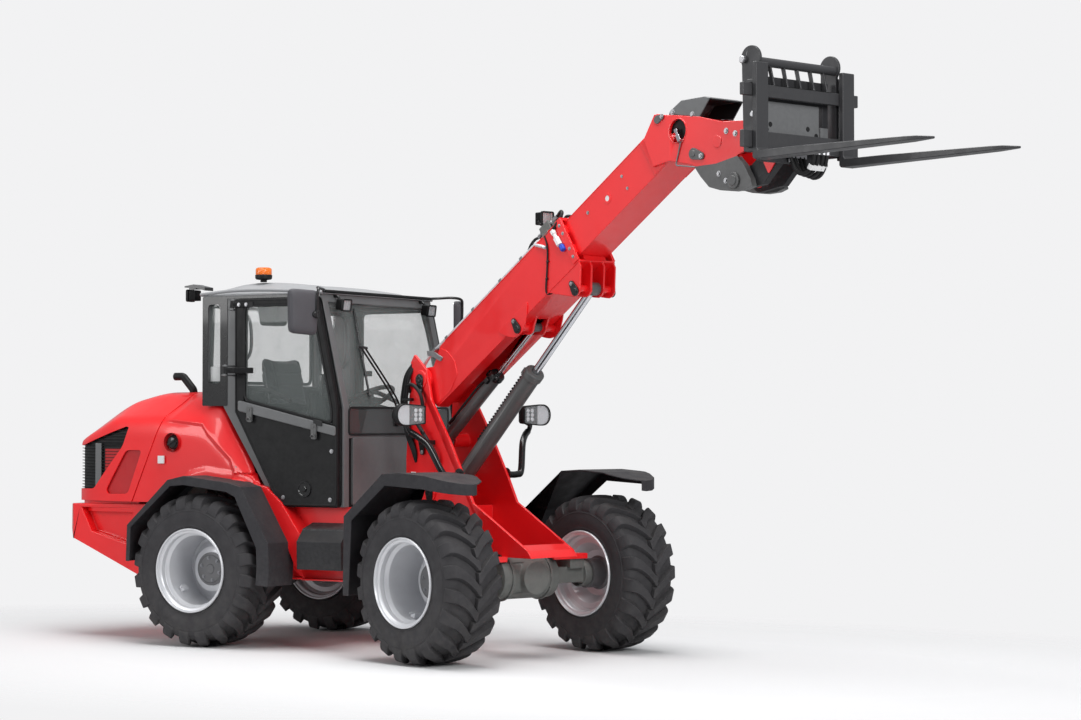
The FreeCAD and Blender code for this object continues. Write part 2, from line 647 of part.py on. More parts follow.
def body_sides():
    """Upright plates under the cab floor with their returned lower edge."""
    inner = SIDE_PLATE_INNER
    plate = prism("xz", SIDE_PLATE, -inner - 10, -inner)
    lower = block((-330, 40), (-inner - 50, -inner), (450, 462))
    tie = block((-200, -160), (-inner - 2, -CHASSIS_HALF), (CHASSIS_TOP - 40, CHASSIS_TOP - 20))
    return left_right(joined([plate, lower, tie]))


def cab_steps():
    """Moulded step boxes below the doors."""
    outline = [(-598, 530), (-776, 530), (-782, 712), (-716, 784), (-716, 792), (-598, 832)]
    boxes = left_right(prism("yz", outline, -270, 85))
    hollow = left_right(prism("yz", [(-590, 538), (-768, 538), (-774, 706), (-708, 776), (-590, 820)],
                              -262, 77))
    return [box.cut(hole) for box, hole in zip(boxes, hollow)]


# ---------------------------------------------------------------- inside the cab
SEAT_X = -700.0
SEAT_Z = 1360.0             # top of the seat's rigid base
SEAT_WIDTH = 480.0


def seat_base():
    """Suspension box of the seat on the tub's deck."""
    low = block((SEAT_X - 190, SEAT_X + 120), (-170, 170), (1144, 1310))
    pan = block((SEAT_X - 230, SEAT_X + 215), (-215, 215), (1310, SEAT_Z))
    return joined([low, pan])


def seat():
    """Seat cushion, backrest and headrest as one padded piece."""
    half = SEAT_WIDTH / 2
    cushion = block((SEAT_X - 240, SEAT_X + 260), (-half, half), (SEAT_Z, SEAT_Z + 110))
    back = prism("xz", [(SEAT_X - 240, SEAT_Z + 60), (SEAT_X - 120, SEAT_Z + 60),
                        (SEAT_X - 205, SEAT_Z + 590), (SEAT_X - 320, SEAT_Z + 590)], -half, half)
    return joined([cushion, back])


def side_console():
    """Control console to the right of the seat with its armrest."""
    box = block((SEAT_X - 120, SEAT_X + 380), (-560, -300), (1144, 1420))
    rest = block((SEAT_X - 150, SEAT_X + 150), (-330, -260), (1560, 1610))
    post = block((SEAT_X - 60, SEAT_X), (-330, -300), (1415, 1562))
    start = (SEAT_X + 300, -420, 1420)
    stem = rod(start, (SEAT_X + 310, -420, 1560), 11)
    grip = rod((SEAT_X + 310, -420, 1555), (SEAT_X + 322, -420, 1680), 26)
    boot = Part.makeCone(48, 18, 60, Vector(*start), Z)
    return joined([box, rest, post, stem, grip, boot])


WHEEL_CENTRE = (-245.0, 0.0, 1640.0)
WHEEL_LEAN = 28.0           # steering wheel's tilt towards the seat
STEERING_RING = 190.0


def steering():
    """Steering column on the floor with its wheel."""
    x, y, z = WHEEL_CENTRE
    lean = math.radians(WHEEL_LEAN)
    along = Vector(-math.sin(lean), 0, math.cos(lean))
    hub = Vector(x, y, z)
    ring = Part.makeTorus(STEERING_RING, 15, hub, along)
    boss = Part.makeCylinder(42, 50, hub - along * 40, along)
    shaft = Part.makeCylinder(24, 420, hub - along * 440, along)
    spokes = []
    for degrees in (90, 210, 330):
        spoke = Part.makeBox(STEERING_RING - 8, 34, 10, hub + Vector(0, -17, -5))
        spoke = spun(spoke, (x, y, z), Z, degrees)
        spokes.append(spun(spoke, (x, y, z), Y, -WHEEL_LEAN))
    foot = prism("xz", [(-20, 955), (-2, 955), (-2, 1350), (-110, 1350), (-150, 1180), (-110, 955)], -110, 110)
    return joined([ring, boss, shaft, foot] + spokes)


# ---------------------------------------------------------------- fittings outside the cab
def beacon():
    """Flashing beacon with its stalk on the roof's right edge."""
    foot = rod((-820, -400, 2415), (-820, -400, 2452), 30)
    lamp = rod((-820, -400, 2452), (-820, -400, 2540), 58)
    return joined([foot, lamp]).cut(roof())


MIRROR_Z = 2200.0
MIRRORS = ((-1, 1010, 230), (1, 860, 180))      # side, distance out of the glass, width


def mirrors():
    """Both outside mirrors on bent arms from the roof's front corners."""
    found = []
    for side, out, width in MIRRORS:
        y_low, y_high = sorted((side * (out - width / 2), side * (out + width / 2)))
        glass = block((-85, -40), (y_low, y_high), (MIRROR_Z - 145, MIRROR_Z + 145))
        bulge = block((-55, -20), (y_low + 12, y_high - 12), (MIRROR_Z - 132, MIRROR_Z + 132))
        route = [(-160, side * 640, 2351), (-90, side * 700, 2351), (-62, side * (out - 90), 2351),
                 (-62, side * out, MIRROR_Z + 100)]
        arm = bent_rod(route, 9, 30)
        found.append(joined([glass, bulge, arm]).cut(roof()).cut(cab_frame_corner()))
    return found


def cab_frame_corner():
    """Space taken by the front ends of the roof rails."""
    return prism("xz", [(screen_x(2200), 2200), (ROOF_FRONT_X, ROOF_EDGE_Z), (-300, ROOF_EDGE_Z),
                        (-300, 2200)], -CAB_HALF_WIDTH, CAB_HALF_WIDTH)


def lamp(x, y, z, size, lean=0.0):
    """Work light housing facing +X with a short foot."""
    width, height, depth = size
    body = block((x - depth, x), (y - width / 2, y + width / 2), (z - height / 2, z + height / 2))
    return spun(body, (x, y, z), Y, lean)


def cab_lights():
    """Two work lights at the top of the screen and one at the rear right corner."""
    found = []
    for side in (-1, 1):
        y = side * 517
        body = lamp(-52, y, 2262, (110, 88, 70), 8)
        stalk = block((-180, -110), (y - 14, y + 14), (2250, 2330))
        found.append(joined([body, stalk]).cut(cab_frame_corner()))
    body = block((-1290, -1215), (-660, -560), (2350, 2440))
    arm = block((-1222, CAB_REAR_X), (-625, -595), (2300, 2330))
    riser = block((-1262, -1222), (-625, -595), (2300, 2352))
    found.append(joined([body, arm, riser]))
    return found


def exhaust_pipe():
    """Bent tail pipe that rises from the tilting cover."""
    y = -380
    route = [(-1430, y, 1640), (-1430, y, 1712), (-1520, y, 1806), (-1590, y, 1806)]
    pipe = bent_rod(route, 27, 40)
    bore = rod((-1591, y, 1806), (-1550, y, 1806), 21)
    return [piece for piece in pipe.cut(bore).cut(hood()).Solids if piece.BoundBox.ZMax > 1750]


def fuel_cap():
    """Filler neck and cap in the right side panel."""
    start, stop = (-1410, -655, 1342), (-1410, -702, 1348)
    pieces = rod(start, stop, 48).cut(side_panels()).Solids
    return min(pieces, key=lambda piece: piece.BoundBox.YMin)


# ---------------------------------------------------------------- front frame
AXLE_SADDLE = 612.0
FRONT_INNER = TOWER_HALF_WIDTH - TOWER_PLATE
TOWER = [(345, 440), (345, 1250), (395, 1890), (430, 1935), (560, 1830), (607, 1636), (797, 1367),
         (950, 1120), (1030, 975), (1560, 690), (1600, 642), (990, 642), (770, 440)]
BOOM_PIN = 35.0
FOOT_PIN = 22.0
LUG_GAP = 45.0              # half the space between a cylinder's two mounting lugs
LUG_PLATE = 15.0
EYE_HALF = 38.0             # half width of a cylinder's eye
LIFT_FOOT_GAP = LIFT_RADIUS + 8


def foot_lugs(pin, wall_x, spread, radius, gap):
    """Two lugs that reach forward from a cross wall to a cylinder's lower pin, with the pin."""
    x, z = pin
    lugs = []
    for s in (-1, 1):
        low, high = sorted((s * gap, s * (gap + LUG_PLATE)))
        plate = prism("xz", [(wall_x, z - spread), (x, z - radius), (x, z + radius), (wall_x, z + spread)],
                      low, high)
        lugs.append(plate)
        lugs.append(cross_pin(x, z, LUG_PLATE / 2, radius, s * (gap + LUG_PLATE / 2)))
    return lugs + [cross_pin(x, z, gap + LUG_PLATE, FOOT_PIN)]


def front_chassis():
    """Boom tower, pivot eyes, axle saddle and cross members of the front frame."""
    side = prism("xz", TOWER, -TOWER_HALF_WIDTH, -FRONT_INNER)
    across = FRONT_INNER + 1
    walls = [block((345, 365), (-across, across), (440, 860)),
             block((365, 760), (-across, across), (440, 460)),
             block((480, 500), (-across, across), (900, 1150)),
             prism("xz", [(1490, 644), (1490, 724), (1560, 690), (1600, 644)], -across, across),
             block((760, 790), (-across, across), (640, 950))]
    eyes = []
    for level in PIVOT_LEVELS:
        low, high = level - PIVOT_LUG / 2, level + PIVOT_LUG / 2
        plan = [(0, -PIVOT_EYE), (350, -TOWER_HALF_WIDTH), (350, TOWER_HALF_WIDTH), (0, PIVOT_EYE)]
        eyes.append(prism("xy", plan, low, high))
        eyes.append(upright(0, 0, low, high, PIVOT_EYE))
    saddles = [block((1140, 1370), sorted((s * (TOWER_HALF_WIDTH - 1), s * 490)), (AXLE_SADDLE, AXLE_SADDLE + 35))
               for s in (-1, 1)]
    stays = [block((658.7, 700), sorted((s * (TOWER_HALF_WIDTH - 1), s * 620)), (800, 850)) for s in (-1, 1)]
    x, z = LEVEL_FOOT
    tubes = [tube((x, s * (LUG_GAP + 10), z), (x, s * across, z), 45, 10) for s in (-1, 1)]
    level = foot_lugs(LEVEL_FOOT, x - 20, 52, 50, LUG_GAP)
    lift = foot_lugs(LIFT_FOOT, 490, 110, 48, LIFT_FOOT_GAP)
    boom_pin = cross_pin(*BOOM_PIVOT, TOWER_HALF_WIDTH + 14, BOOM_PIN)
    whole = joined(left_right(side) + walls + eyes + saddles + stays + tubes + level + lift
                   + [boom_pin])
    room = cross_pin(FRONT_AXLE_X, TYRE_RADIUS, 300, 154)
    return whole.cut(room).cut(upright(0, 0, 400, 900, PIVOT_RADIUS + PIN_CLEARANCE))


FRONT_FENDER_PATH = [(644, 492), (651, 901), (1042, 1172), (1215, 1182), (1450, 1168), (1676, 1116)]
FRONT_FENDER_INNER = 552.0
FRONT_LIP_LOW = [(600, 400), (700, 400), (730, 875), (1070, 1100), (1430, 1085), (1720, 1040), (1720, 300),
                 (600, 300)]


def fender_plan(inset, inner):
    """Plan of a front fender: straight sides and a rounded nose."""
    outer = -FENDER_HALF_WIDTH + inset
    nose = [(1380, outer), (1500, outer + 18), (1600, outer + 75), (1660 - inset, outer + 150),
            (1676 - inset, outer + 215), (1655 - inset, inner - 120), (1600, inner - 50), (1500, inner)]
    return [(500, outer)] + nose + [(500, inner)]


def front_fenders():
    """Both front fenders: crowned sheet with a lip round its outer edge and nose."""
    below = [(1676, 300), (644, 300)]
    outer = prism("xz", FRONT_FENDER_PATH + below, -960, -500)
    outer = outer.common(prism("xy", fender_plan(0, -FRONT_FENDER_INNER), 250, 1300))
    sheet = FENDER_SHEET
    under = [(x + sheet, z) for x, z in FRONT_FENDER_PATH[:2]]
    under += [(x + 4, z - sheet - 1) for x, z in FRONT_FENDER_PATH[2:]]
    inner = prism("xz", under + [(1700, 200), (652, 200)], -960, -400)
    inner = inner.common(prism("xy", fender_plan(sheet, -FRONT_FENDER_INNER + 50), 100, 1300))
    shell = outer.cut(inner).cut(prism("xz", FRONT_LIP_LOW, -1000, -400))
    leg = band(FRONT_FENDER_PATH[:2], sheet, "xz", -FENDER_HALF_WIDTH, -FRONT_FENDER_INNER)
    return left_right(joined([shell, leg]))


def headlights():
    """Headlight housings with rounded backs, each on a bent tube from the tower."""
    route = [(900, -TOWER_HALF_WIDTH, 1150), (900, -330, 1150), (800, -420, 1400), (768, -500, 1440)]
    arm = bent_rod(route, 18, 60)
    body = block((765, 829), (-655, -415), (1461, 1611))
    back = block((725, 766), (-620, -450), (1480, 1592))
    foot = block((745, 790), (-530, -470), (1425, 1482))
    return left_right(joined([arm, body, back, foot]))


# ---------------------------------------------------------------- boom
BOOM_WALL = 12.0
BOOM_SIDE = [(243, BOOM_TOP), (BOOM_FRONT, BOOM_TOP), (BOOM_FRONT, BOOM_BOTTOM), (0, BOOM_BOTTOM),
             (-60, -60), (-78, 0), (-40, 68), (55, 60), (110, 30)]
PAD_LENGTH = 80.0


def boom():
    """Outer boom: box with open front, pivot ears, wear pads and the cylinders' lugs."""
    half, wall = BOOM_HALF_WIDTH, BOOM_WALL
    body = prism("xz", BOOM_SIDE, -half, half)
    inside = (-half + wall, half - wall)
    body = body.cut(block((200, BOOM_FRONT + 1), inside, (BOOM_BOTTOM + wall, BOOM_TOP - wall)))
    body = body.cut(block((-200, 130), (-60, 60), (-150, 200)))
    cheeks = [rod((0, s * half, 0), (0, s * (FRONT_INNER - 2), 0), 70) for s in (-1, 1)]
    pads = []
    for s in (-1, 1):
        y = sorted((s * (INNER_HALF_WIDTH + SLIDE_CLEARANCE), s * (half - wall)))
        for z in ((INNER_BOTTOM + 20, INNER_BOTTOM + 80), (INNER_TOP - 80, INNER_TOP - 20)):
            pads.append(block((BOOM_FRONT - PAD_LENGTH, BOOM_FRONT - 6), y, z))
    x = (BOOM_FRONT - PAD_LENGTH, BOOM_FRONT - 6)
    pads.append(block(x, (-90, 90), (INNER_TOP + SLIDE_CLEARANCE, BOOM_TOP - wall)))
    pads.append(block(x, (-90, 90), (BOOM_BOTTOM + wall, INNER_BOTTOM - SLIDE_CLEARANCE)))
    lift_u, lift_v = LIFT_EYE
    outer_lug = [(1290, BOOM_BOTTOM + 5), (1455, lift_v - 25), (lift_u - 30, lift_v - 45),
                 (lift_u + 30, lift_v - 45), (BOOM_FRONT - 8, BOOM_BOTTOM - 30), (BOOM_FRONT - 8, BOOM_BOTTOM + 5)]
    lugs = []
    for s in (-1, 1):
        for near, far in ((half - wall, half), (LUG_GAP, LUG_GAP + LUG_PLATE)):
            low, high = sorted((s * near, s * far))
            lugs.append(prism("xz", outer_lug, low, high))
            lugs.append(rod((lift_u, low, lift_v), (lift_u, high, lift_v), 52))
        level_u, level_v = LEVEL_EYE
        low, high = sorted((s * LUG_GAP, s * (LUG_GAP + LUG_PLATE)))
        plate = [(level_u - 110, BOOM_BOTTOM + 5), (level_u - 45, level_v - 25), (level_u + 45, level_v - 25),
                 (level_u + 110, BOOM_BOTTOM + 5)]
        lugs.append(prism("xz", plate, low, high))
        lugs.append(rod((level_u, low, level_v), (level_u, high, level_v), 50))
        lugs.append(rod((lift_u, s * LUG_GAP, lift_v), (lift_u, s * half, lift_v), FOOT_PIN))
    whole = joined([body] + cheeks + pads + lugs)
    low, high = BOOM_BOTTOM - 90, BOOM_BOTTOM + wall + 1
    eye_slot = block((LEVEL_EYE[0] - 150, LEVEL_EYE[0] + 75), (-LUG_GAP, LUG_GAP), (low, high))
    barrel_slot = block((-100, LEVEL_EYE[0] - 140), (-LEVEL_SLOT_HALF, LEVEL_SLOT_HALF), (low, INNER_BOTTOM - 2))
    boss_tops = block((LEVEL_EYE[0] - 100, LEVEL_EYE[0] + 100), (-100, 100), (BOOM_BOTTOM + wall, INNER_BOTTOM))
    for room in (eye_slot, barrel_slot, boss_tops):
        whole = whole.cut(room)
    return whole.cut(cross_pin(0, 0, 400, BOOM_PIN + PIN_CLEARANCE))


def boom_pipes():
    """Steel pipes and their clamp on top of the outer boom."""
    lines = [bent_rod([(230, y, BOOM_TOP + 14), (1180, y, BOOM_TOP + 14), (1290, y, BOOM_TOP + 30)], 8, 40)
             for y in (-75, -45, -15)]
    clamps = [block((u, u + 50), (-95, 5), (BOOM_TOP, BOOM_TOP + 26)) for u in (255, 720, 1150)]
    return joined(lines + clamps)


def boom_valve():
    """Valve block with its couplings near the front of the outer boom."""
    base = block((1330, 1560), (-110, -20), (BOOM_TOP, BOOM_TOP + 22))
    body = block((1400, 1500), (-105, -35), (BOOM_TOP + 20, BOOM_TOP + 95))
    plugs = [rod((1490, y, BOOM_TOP + z), (1575, y, BOOM_TOP + z), 15) for y, z in ((-90, 70), (-52, 40))]
    return joined([base, body] + plugs)


def boom_light():
    """Work light, level at rest, on a bracket on top of the outer boom."""
    stand = block((1385, 1425), (-15, 7), (BOOM_TOP, BOOM_TOP + 160))
    body = block((1368, 1443), (-78, 20), (BOOM_TOP + 132, BOOM_TOP + 224))
    return joined([stand, spun(body, (1405, 0, BOOM_TOP + 178), Y, BOOM_ANGLE)])


def inner_boom():
    """Inner boom: square tube with rear wear pads."""
    half, wall = INNER_HALF_WIDTH, 10.0
    tube_end = INNER_FRONT - 100
    body = block((INNER_REAR, tube_end), (-half, half), (INNER_BOTTOM, INNER_TOP))
    body = body.cut(block((INNER_REAR - 1, tube_end + 1), (-half + wall, half - wall),
                          (INNER_BOTTOM + wall, INNER_TOP - wall)))
    outer = BOOM_HALF_WIDTH - BOOM_WALL - SLIDE_CLEARANCE
    roof_v = BOOM_TOP - BOOM_WALL - SLIDE_CLEARANCE
    floor_v = BOOM_BOTTOM + BOOM_WALL + SLIDE_CLEARANCE
    u = (INNER_REAR, INNER_REAR + PAD_LENGTH)
    pads = [block(u, (-90, 90), (INNER_TOP, roof_v))]
    for s in (-1, 1):
        pads.append(block(u, sorted((s * (LEVEL_SLOT_HALF + 3), s * 90)), (floor_v, INNER_BOTTOM)))
        y = sorted((s * half, s * outer))
        pads += [block(u, y, (INNER_BOTTOM + 20, INNER_BOTTOM + 80)), block(u, y, (INNER_TOP - 80, INNER_TOP - 20))]
    return joined([body] + pads)


# ---------------------------------------------------------------- boom head, front frame's x and z
HEAD_INNER = 130.0
HEAD_OUTER = 150.0
HEAD_SIDE = [(2560, 3180), (2650, 3320), (2795, 3304), (3027, 3274), (3214, 3229), (3430, 3218),
             (3452, 3067), (3334, 3025), (3165, 2992), (3014, 2986), (2778, 3034), (2640, 3010)]
NOSE = [(2960, 3010), (3040, 2925), (3110, 2858), (3200, 2835), (3310, 2822), (3400, 2826), (3452, 2842),
        (3440, 2880), (3385, 2967), (3330, 3026), (3160, 2996)]
NOSE_INNER = 112.0
TILT_PIN = 30.0
TILT_BARREL_FOOT_PIN = 20.0


def boom_head():
    """Gooseneck at the end of the inner boom: two side plates, ties and the nose."""
    side = prism("xz", HEAD_SIDE, -HEAD_OUTER, -HEAD_INNER)
    side = side.cut(cross_pin(2850, 3205, 400, 70))
    nose = prism("xz", NOSE, -HEAD_OUTER, -NOSE_INNER)
    inside = HEAD_INNER + 1
    fill_low = INNER_BOTTOM + 0.5
    web = []
    for s in (-1, 1):
        y = sorted((s * INNER_HALF_WIDTH, s * inside))
        web.append(on_boom_straight(block((2440, 2600), y, (fill_low, INNER_TOP - 10))))
    floor = on_boom_straight(block((2601, 2625), (-inside, inside), (INNER_BOTTOM + 20, -110)))
    tie = cross_pin(2985, 3014, inside, 26)
    front_tie = block((3405, 3440), (-inside, inside), (3080, 3110))
    front_tie = front_tie.cut(block((3300, 3500), (-112, 112), (3000, 3200)))
    x, z = TILT_CYLINDER_FOOT
    pin = cross_pin(x, z, HEAD_OUTER, TILT_BARREL_FOOT_PIN)
    sleeves = [rod((x, s * LUG_GAP, z), (x, s * inside, z), 34) for s in (-1, 1)]
    px, pz = TILT_PIVOT
    stubs = [rod((px, s * 52, pz), (px, s * (HEAD_OUTER + 12), pz), TILT_PIN) for s in (-1, 1)]
    through = cross_pin(px, pz, HEAD_OUTER, TILT_PIN)
    sides = left_right(side) + left_right(nose)
    whole = joined(sides + web + [floor, tie, front_tie, pin, through] + sleeves + stubs)
    width = (-INNER_HALF_WIDTH, INNER_HALF_WIDTH)
    tunnel = on_boom_straight(block((2300, 2601), width, (INNER_BOTTOM, INNER_TOP)))
    return whole.cut(tunnel)


def on_boom_straight(shape):
    """Places a piece drawn in the boom's frame in the front frame before that frame is turned."""
    raised = spun(shape, (0, 0, 0), Y, -BOOM_ANGLE)
    return moved(raised, BOOM_PIVOT[0], 0, BOOM_PIVOT[1])


COVER = [(2760, 3300), (2775, 3330), (2870, 3385), (3060, 3390), (3107, 3378), (3024, 3275), (2795, 3304)]


def head_cover():
    """Formed cover over the tilt cylinder, open at the front."""
    outer = prism("xz", COVER, -HEAD_OUTER + 8, HEAD_OUTER - 8)
    shrunk = [(2775, 3290), (2783, 3322), (2873, 3375), (3058, 3380), (3200, 3345), (3100, 3200), (2700, 3200)]
    return outer.cut(prism("xz", shrunk, -HEAD_OUTER + 16, HEAD_OUTER - 16)).cut(boom_head())


# ---------------------------------------------------------------- cylinders, front frame's x and z
def cylinder(foot, eye, length, radius, rod_radius, eye_radius, pin, foot_half, stroke_in):
    """Barrel and rod of one hydraulic cylinder between two pins that lie across the machine."""
    start, stop = Vector(foot[0], 0, foot[1]), Vector(eye[0], 0, eye[1])
    along = (stop - start).normalize()
    wall = 8.0
    foot_radius = pin + 20
    base, end = start + along * (foot_radius - 6), start + along * length
    bottom = base + along * 22
    gland = end - along * 45
    barrel = rod(base, end, radius)
    collar = rod(gland, end, radius + 5)
    boss = cross_pin(foot[0], foot[1], foot_half, foot_radius)
    port = rod(bottom + along * 25, bottom + along * 25 + across_up(along) * (radius + 16), 14)
    barrel = joined([barrel, collar, boss, port])
    barrel = barrel.cut(rod(bottom, gland, radius - wall))
    barrel = barrel.cut(rod(gland - along, end + along, rod_radius + PIN_CLEARANCE))
    barrel = barrel.cut(cross_pin(foot[0], foot[1], foot_half + 1, pin + PIN_CLEARANCE))
    half = EYE_HALF
    rod_start = stop - along * stroke_in
    bar = rod(rod_start, stop - along * (eye_radius - 8), rod_radius)
    ring = cross_pin(eye[0], eye[1], half, eye_radius).cut(cross_pin(eye[0], eye[1], half + 1, eye_radius - 17))
    return barrel, joined([bar, ring])


def across_up(along):
    """Unit vector square to the cylinder, in its swing plane, on the upper side."""
    return Vector(-along.z, 0, along.x)


# ---------------------------------------------------------------- hitch, carriage and forks
HITCH_BACK_X = 3612.0
HITCH_FRONT_X = 3640.0
TILT_LUG = (60.0, 106.0)
CARRIAGE_SIDE = 327.0
CARRIAGE_FRONT_X = 3700.0
BAR_LEVELS = ((3022.0, 3118.0), (3312.0, 3382.0))


def hitch():
    """Quick hitch: plate with two windows, its pivot lugs and the tilt cylinder's lugs."""
    plate = block((HITCH_BACK_X, HITCH_FRONT_X), (-285, 285), (2960, 3440))
    for s in (-1, 1):
        plate = plate.cut(block((HITCH_BACK_X - 5, HITCH_FRONT_X + 5), sorted((s * 95, s * 235)), (3130, 3300)))
    px, pz = TILT_PIVOT
    ex, ez = TILT_CYLINDER_EYE
    profile = [(px - 20, pz + 52), (px, pz + 55), (px + 60, pz + 62), (3480, 3020), (HITCH_BACK_X + 2, 3120),
               (HITCH_BACK_X + 2, 2962), (3500, 2850), (px, pz - 55)]
    parts = [plate]
    for s in (-1, 1):
        low, high = sorted((s * TILT_LUG[0], s * TILT_LUG[1]))
        lug = prism("xz", profile, low, high).fuse(rod((px, low, pz), (px, high, pz), 55))
        parts.append(lug)
        low, high = sorted((s * LUG_GAP, s * (LUG_GAP + LUG_PLATE)))
        ear = [(ex - 20, ez - 36), (HITCH_BACK_X + 2, ez - 90), (HITCH_BACK_X + 2, ez + 120), (ex - 10, ez + 38)]
        parts.append(prism("xz", ear, low, high))
        parts.append(rod((ex, low, ez), (ex, high, ez), 38))
        parts.append(block((HITCH_FRONT_X - 1, CARRIAGE_FRONT_X - 30), sorted((s * 180, s * 215)), (3030, 3110)))
    top_rail = block((HITCH_FRONT_X - 1, CARRIAGE_FRONT_X - 30), (-240, 240), (3320, 3372))
    whole = joined(parts + [top_rail])
    return whole.cut(cross_pin(px, pz, 400, TILT_PIN + PIN_CLEARANCE))


def fork_carriage():
    """Carriage frame: two bars, side plates with hooked ears and the tie tube."""
    bars = [block((CARRIAGE_FRONT_X - 30, CARRIAGE_FRONT_X), (-CARRIAGE_SIDE - 150, CARRIAGE_SIDE + 150), level)
            for level in BAR_LEVELS]
    low, high = -CARRIAGE_SIDE - 10, -CARRIAGE_SIDE + 10
    back = CARRIAGE_FRONT_X - 29
    side = prism("xz", [(3565, 3012), (back, 3012), (back, 3480), (3685, 3530), (3553, 3530), (3553, 3470)],
                 low, high)
    ear = rod((3619, low, 3533), (3619, high, 3533), 74)
    stub = rod((3575, low - 14, 3530), (3575, high + 14, 3530), 18)
    tube_across = cross_pin(3655, 3515, CARRIAGE_SIDE, 26)
    gusset = [(3645, 3500), (CARRIAGE_FRONT_X - 30, 3382), (CARRIAGE_FRONT_X - 2, 3382), (3667, 3500)]
    gussets = [prism("xz", gusset, y - 6, y + 6) for y in (-220, -110, 0, 110, 220)]
    return joined(bars + left_right(joined([side, ear, stub])) + [tube_across] + gussets)


def forks():
    """Two forged fork arms hooked on the carriage bars."""
    low, high = -FORK_HALF_SPACING - FORK_WIDTH / 2, -FORK_HALF_SPACING + FORK_WIDTH / 2
    heel, top = FORK_HEEL_X, FORK_TOP_Z
    tip = heel + FORK_LENGTH + 19
    under = top - FORK_THICKNESS - 4
    back = CARRIAGE_FRONT_X + 1
    profile = [(back, top + 25), (back, under + 12), (CARRIAGE_FRONT_X + 14, under), (heel + 350, under + 2),
               (tip, top - 34), (tip + 2, top - 22), (tip - 90, top - 13), (heel + 300, top), (heel + 14, top),
               (heel, top + 14), (heel, 3500), (back, 3500)]
    plan = [(3600, low), (tip - 160, low), (tip - 30, low + 28), (tip + 5, low + 38),
            (tip + 5, high - 38), (tip - 30, high - 28), (tip - 160, high), (3600, high)]
    blade = prism("xz", profile, low, high)
    point = prism("xy", plan, 2800, 3600)
    blade = blade.common(point)
    back, front, y = CARRIAGE_FRONT_X - 44, CARRIAGE_FRONT_X + 4, (low, -CARRIAGE_SIDE - 13)
    hooks = [block((back, front), y, (3382.2, 3404)), block((back, front - 34.2), y, (3340, 3404)),
             block((back, front), y, (2998, 3021.8)), block((back, front - 34.2), y, (2998, 3050))]
    return left_right(joined([blade] + hooks))


def tool_hoses():
    """Hoses that loop from the hitch to the carriage's couplings."""
    found = []
    for index, y in enumerate((-52, -20, 20, 52)):
        drop = 6 * index
        route = [(3655, y, 3010), (3690, y, 2900 - drop), (3790, y, 2890 - drop), (3840, y, 2960), (3845, y, 3030)]
        found.append(bent_rod(route, 12, 38))
    block_low = block((3640, 3670), (-75, 75), (2990, 3030))
    block_high = block((CARRIAGE_FRONT_X, 3860), (-75, 75), (3024, 3050))
    return joined(found + [block_low, block_high])


# ---------------------------------------------------------------- the whole machine
def solids():
    """Every node's shape, in the machine's own frame."""
    found = {
        "rear_chassis": rear_chassis(),
        "rear_axle": axle(REAR_AXLE_X, REAR_AXLE_X, (CHASSIS_HALF - 14), AXLE_PAD_TOP),
        "engine_block": engine_block(),
        "counterweight": counterweight(),
        "tow_coupling": tow_coupling(),
        "hood": hood(),
        "hood_grilles": hood_grilles(),
        "side_panels": side_panels(),
        "rear_fenders": rear_fenders(),
        "cab_frame": cab_frame(),
        "cab_base": cab_base(),
        "roof": roof(),
        "windscreen": windscreen(),
        "rear_windows": [rear_window()] + side_windows(),
        "right_door": door(-1),
        "left_door": door(1),
        "right_door_glass": door_glass(-1),
        "left_door_glass": door_glass(1),
        "body_sides": body_sides(),
        "cab_steps": cab_steps(),
        "seat_base": seat_base(),
        "seat": seat(),
        "side_console": side_console(),
        "steering_wheel": steering(),
        "beacon": beacon(),
        "mirrors": mirrors(),
        "cab_lights": cab_lights(),
        "exhaust_pipe": exhaust_pipe(),
        "fuel_cap": fuel_cap(),
        "front_chassis": on_front(front_chassis()),
        "front_axle": on_front(axle(FRONT_AXLE_X, FRONT_AXLE_X, 425, AXLE_SADDLE)),
        "front_fenders": [on_front(shape) for shape in front_fenders()],
        "headlights": [on_front(shape) for shape in headlights()],
        "boom": on_boom(boom()),
        "boom_pipes": [on_boom(boom_pipes()), on_boom(boom_valve())],
        "boom_light": on_boom(boom_light()),
        "inner_boom": on_boom(inner_boom()),
        "boom_head": on_front(boom_head()),
        "head_cover": on_front(head_cover()),
        "hitch": on_front(hitch()),
        "fork_carriage": on_front(fork_carriage()),
        "forks": [on_front(shape) for shape in forks()],
        "tool_hoses": on_front(tool_hoses()),
    }
    found.update(wheels())
    found.update(cylinders())
    return found


def cylinders():
    """Lift, levelling and tilt cylinders: node name to shape."""
    found = {}
    made = {
        "lift": cylinder(LIFT_FOOT, boom_point(*LIFT_EYE), LIFT_BARREL, LIFT_RADIUS, LIFT_ROD_RADIUS,
                         40, FOOT_PIN, LIFT_FOOT_GAP - 6, LIFT_ROD_IN),
        "level": cylinder(LEVEL_FOOT, boom_point(*LEVEL_EYE), LEVEL_BARREL, LEVEL_RADIUS, LEVEL_ROD_RADIUS,
                          26, FOOT_PIN, EYE_HALF, LEVEL_ROD_IN),
        "tilt": cylinder(TILT_CYLINDER_FOOT, TILT_CYLINDER_EYE, TILT_BARREL, TILT_RADIUS, TILT_ROD_RADIUS,
                         32, TILT_BARREL_FOOT_PIN, EYE_HALF, TILT_ROD_IN),
    }
    for name, (barrel, bar) in made.items():
        found[f"{name}_barrel"] = on_front(barrel)
        found[f"{name}_rod"] = on_front(bar)
    return found


def as_one(shape):
    """A compound with the node's solids only."""
    pieces = shape if isinstance(shape, list) else [shape]
    return Part.makeCompound([solid for piece in pieces for solid in piece.Solids])


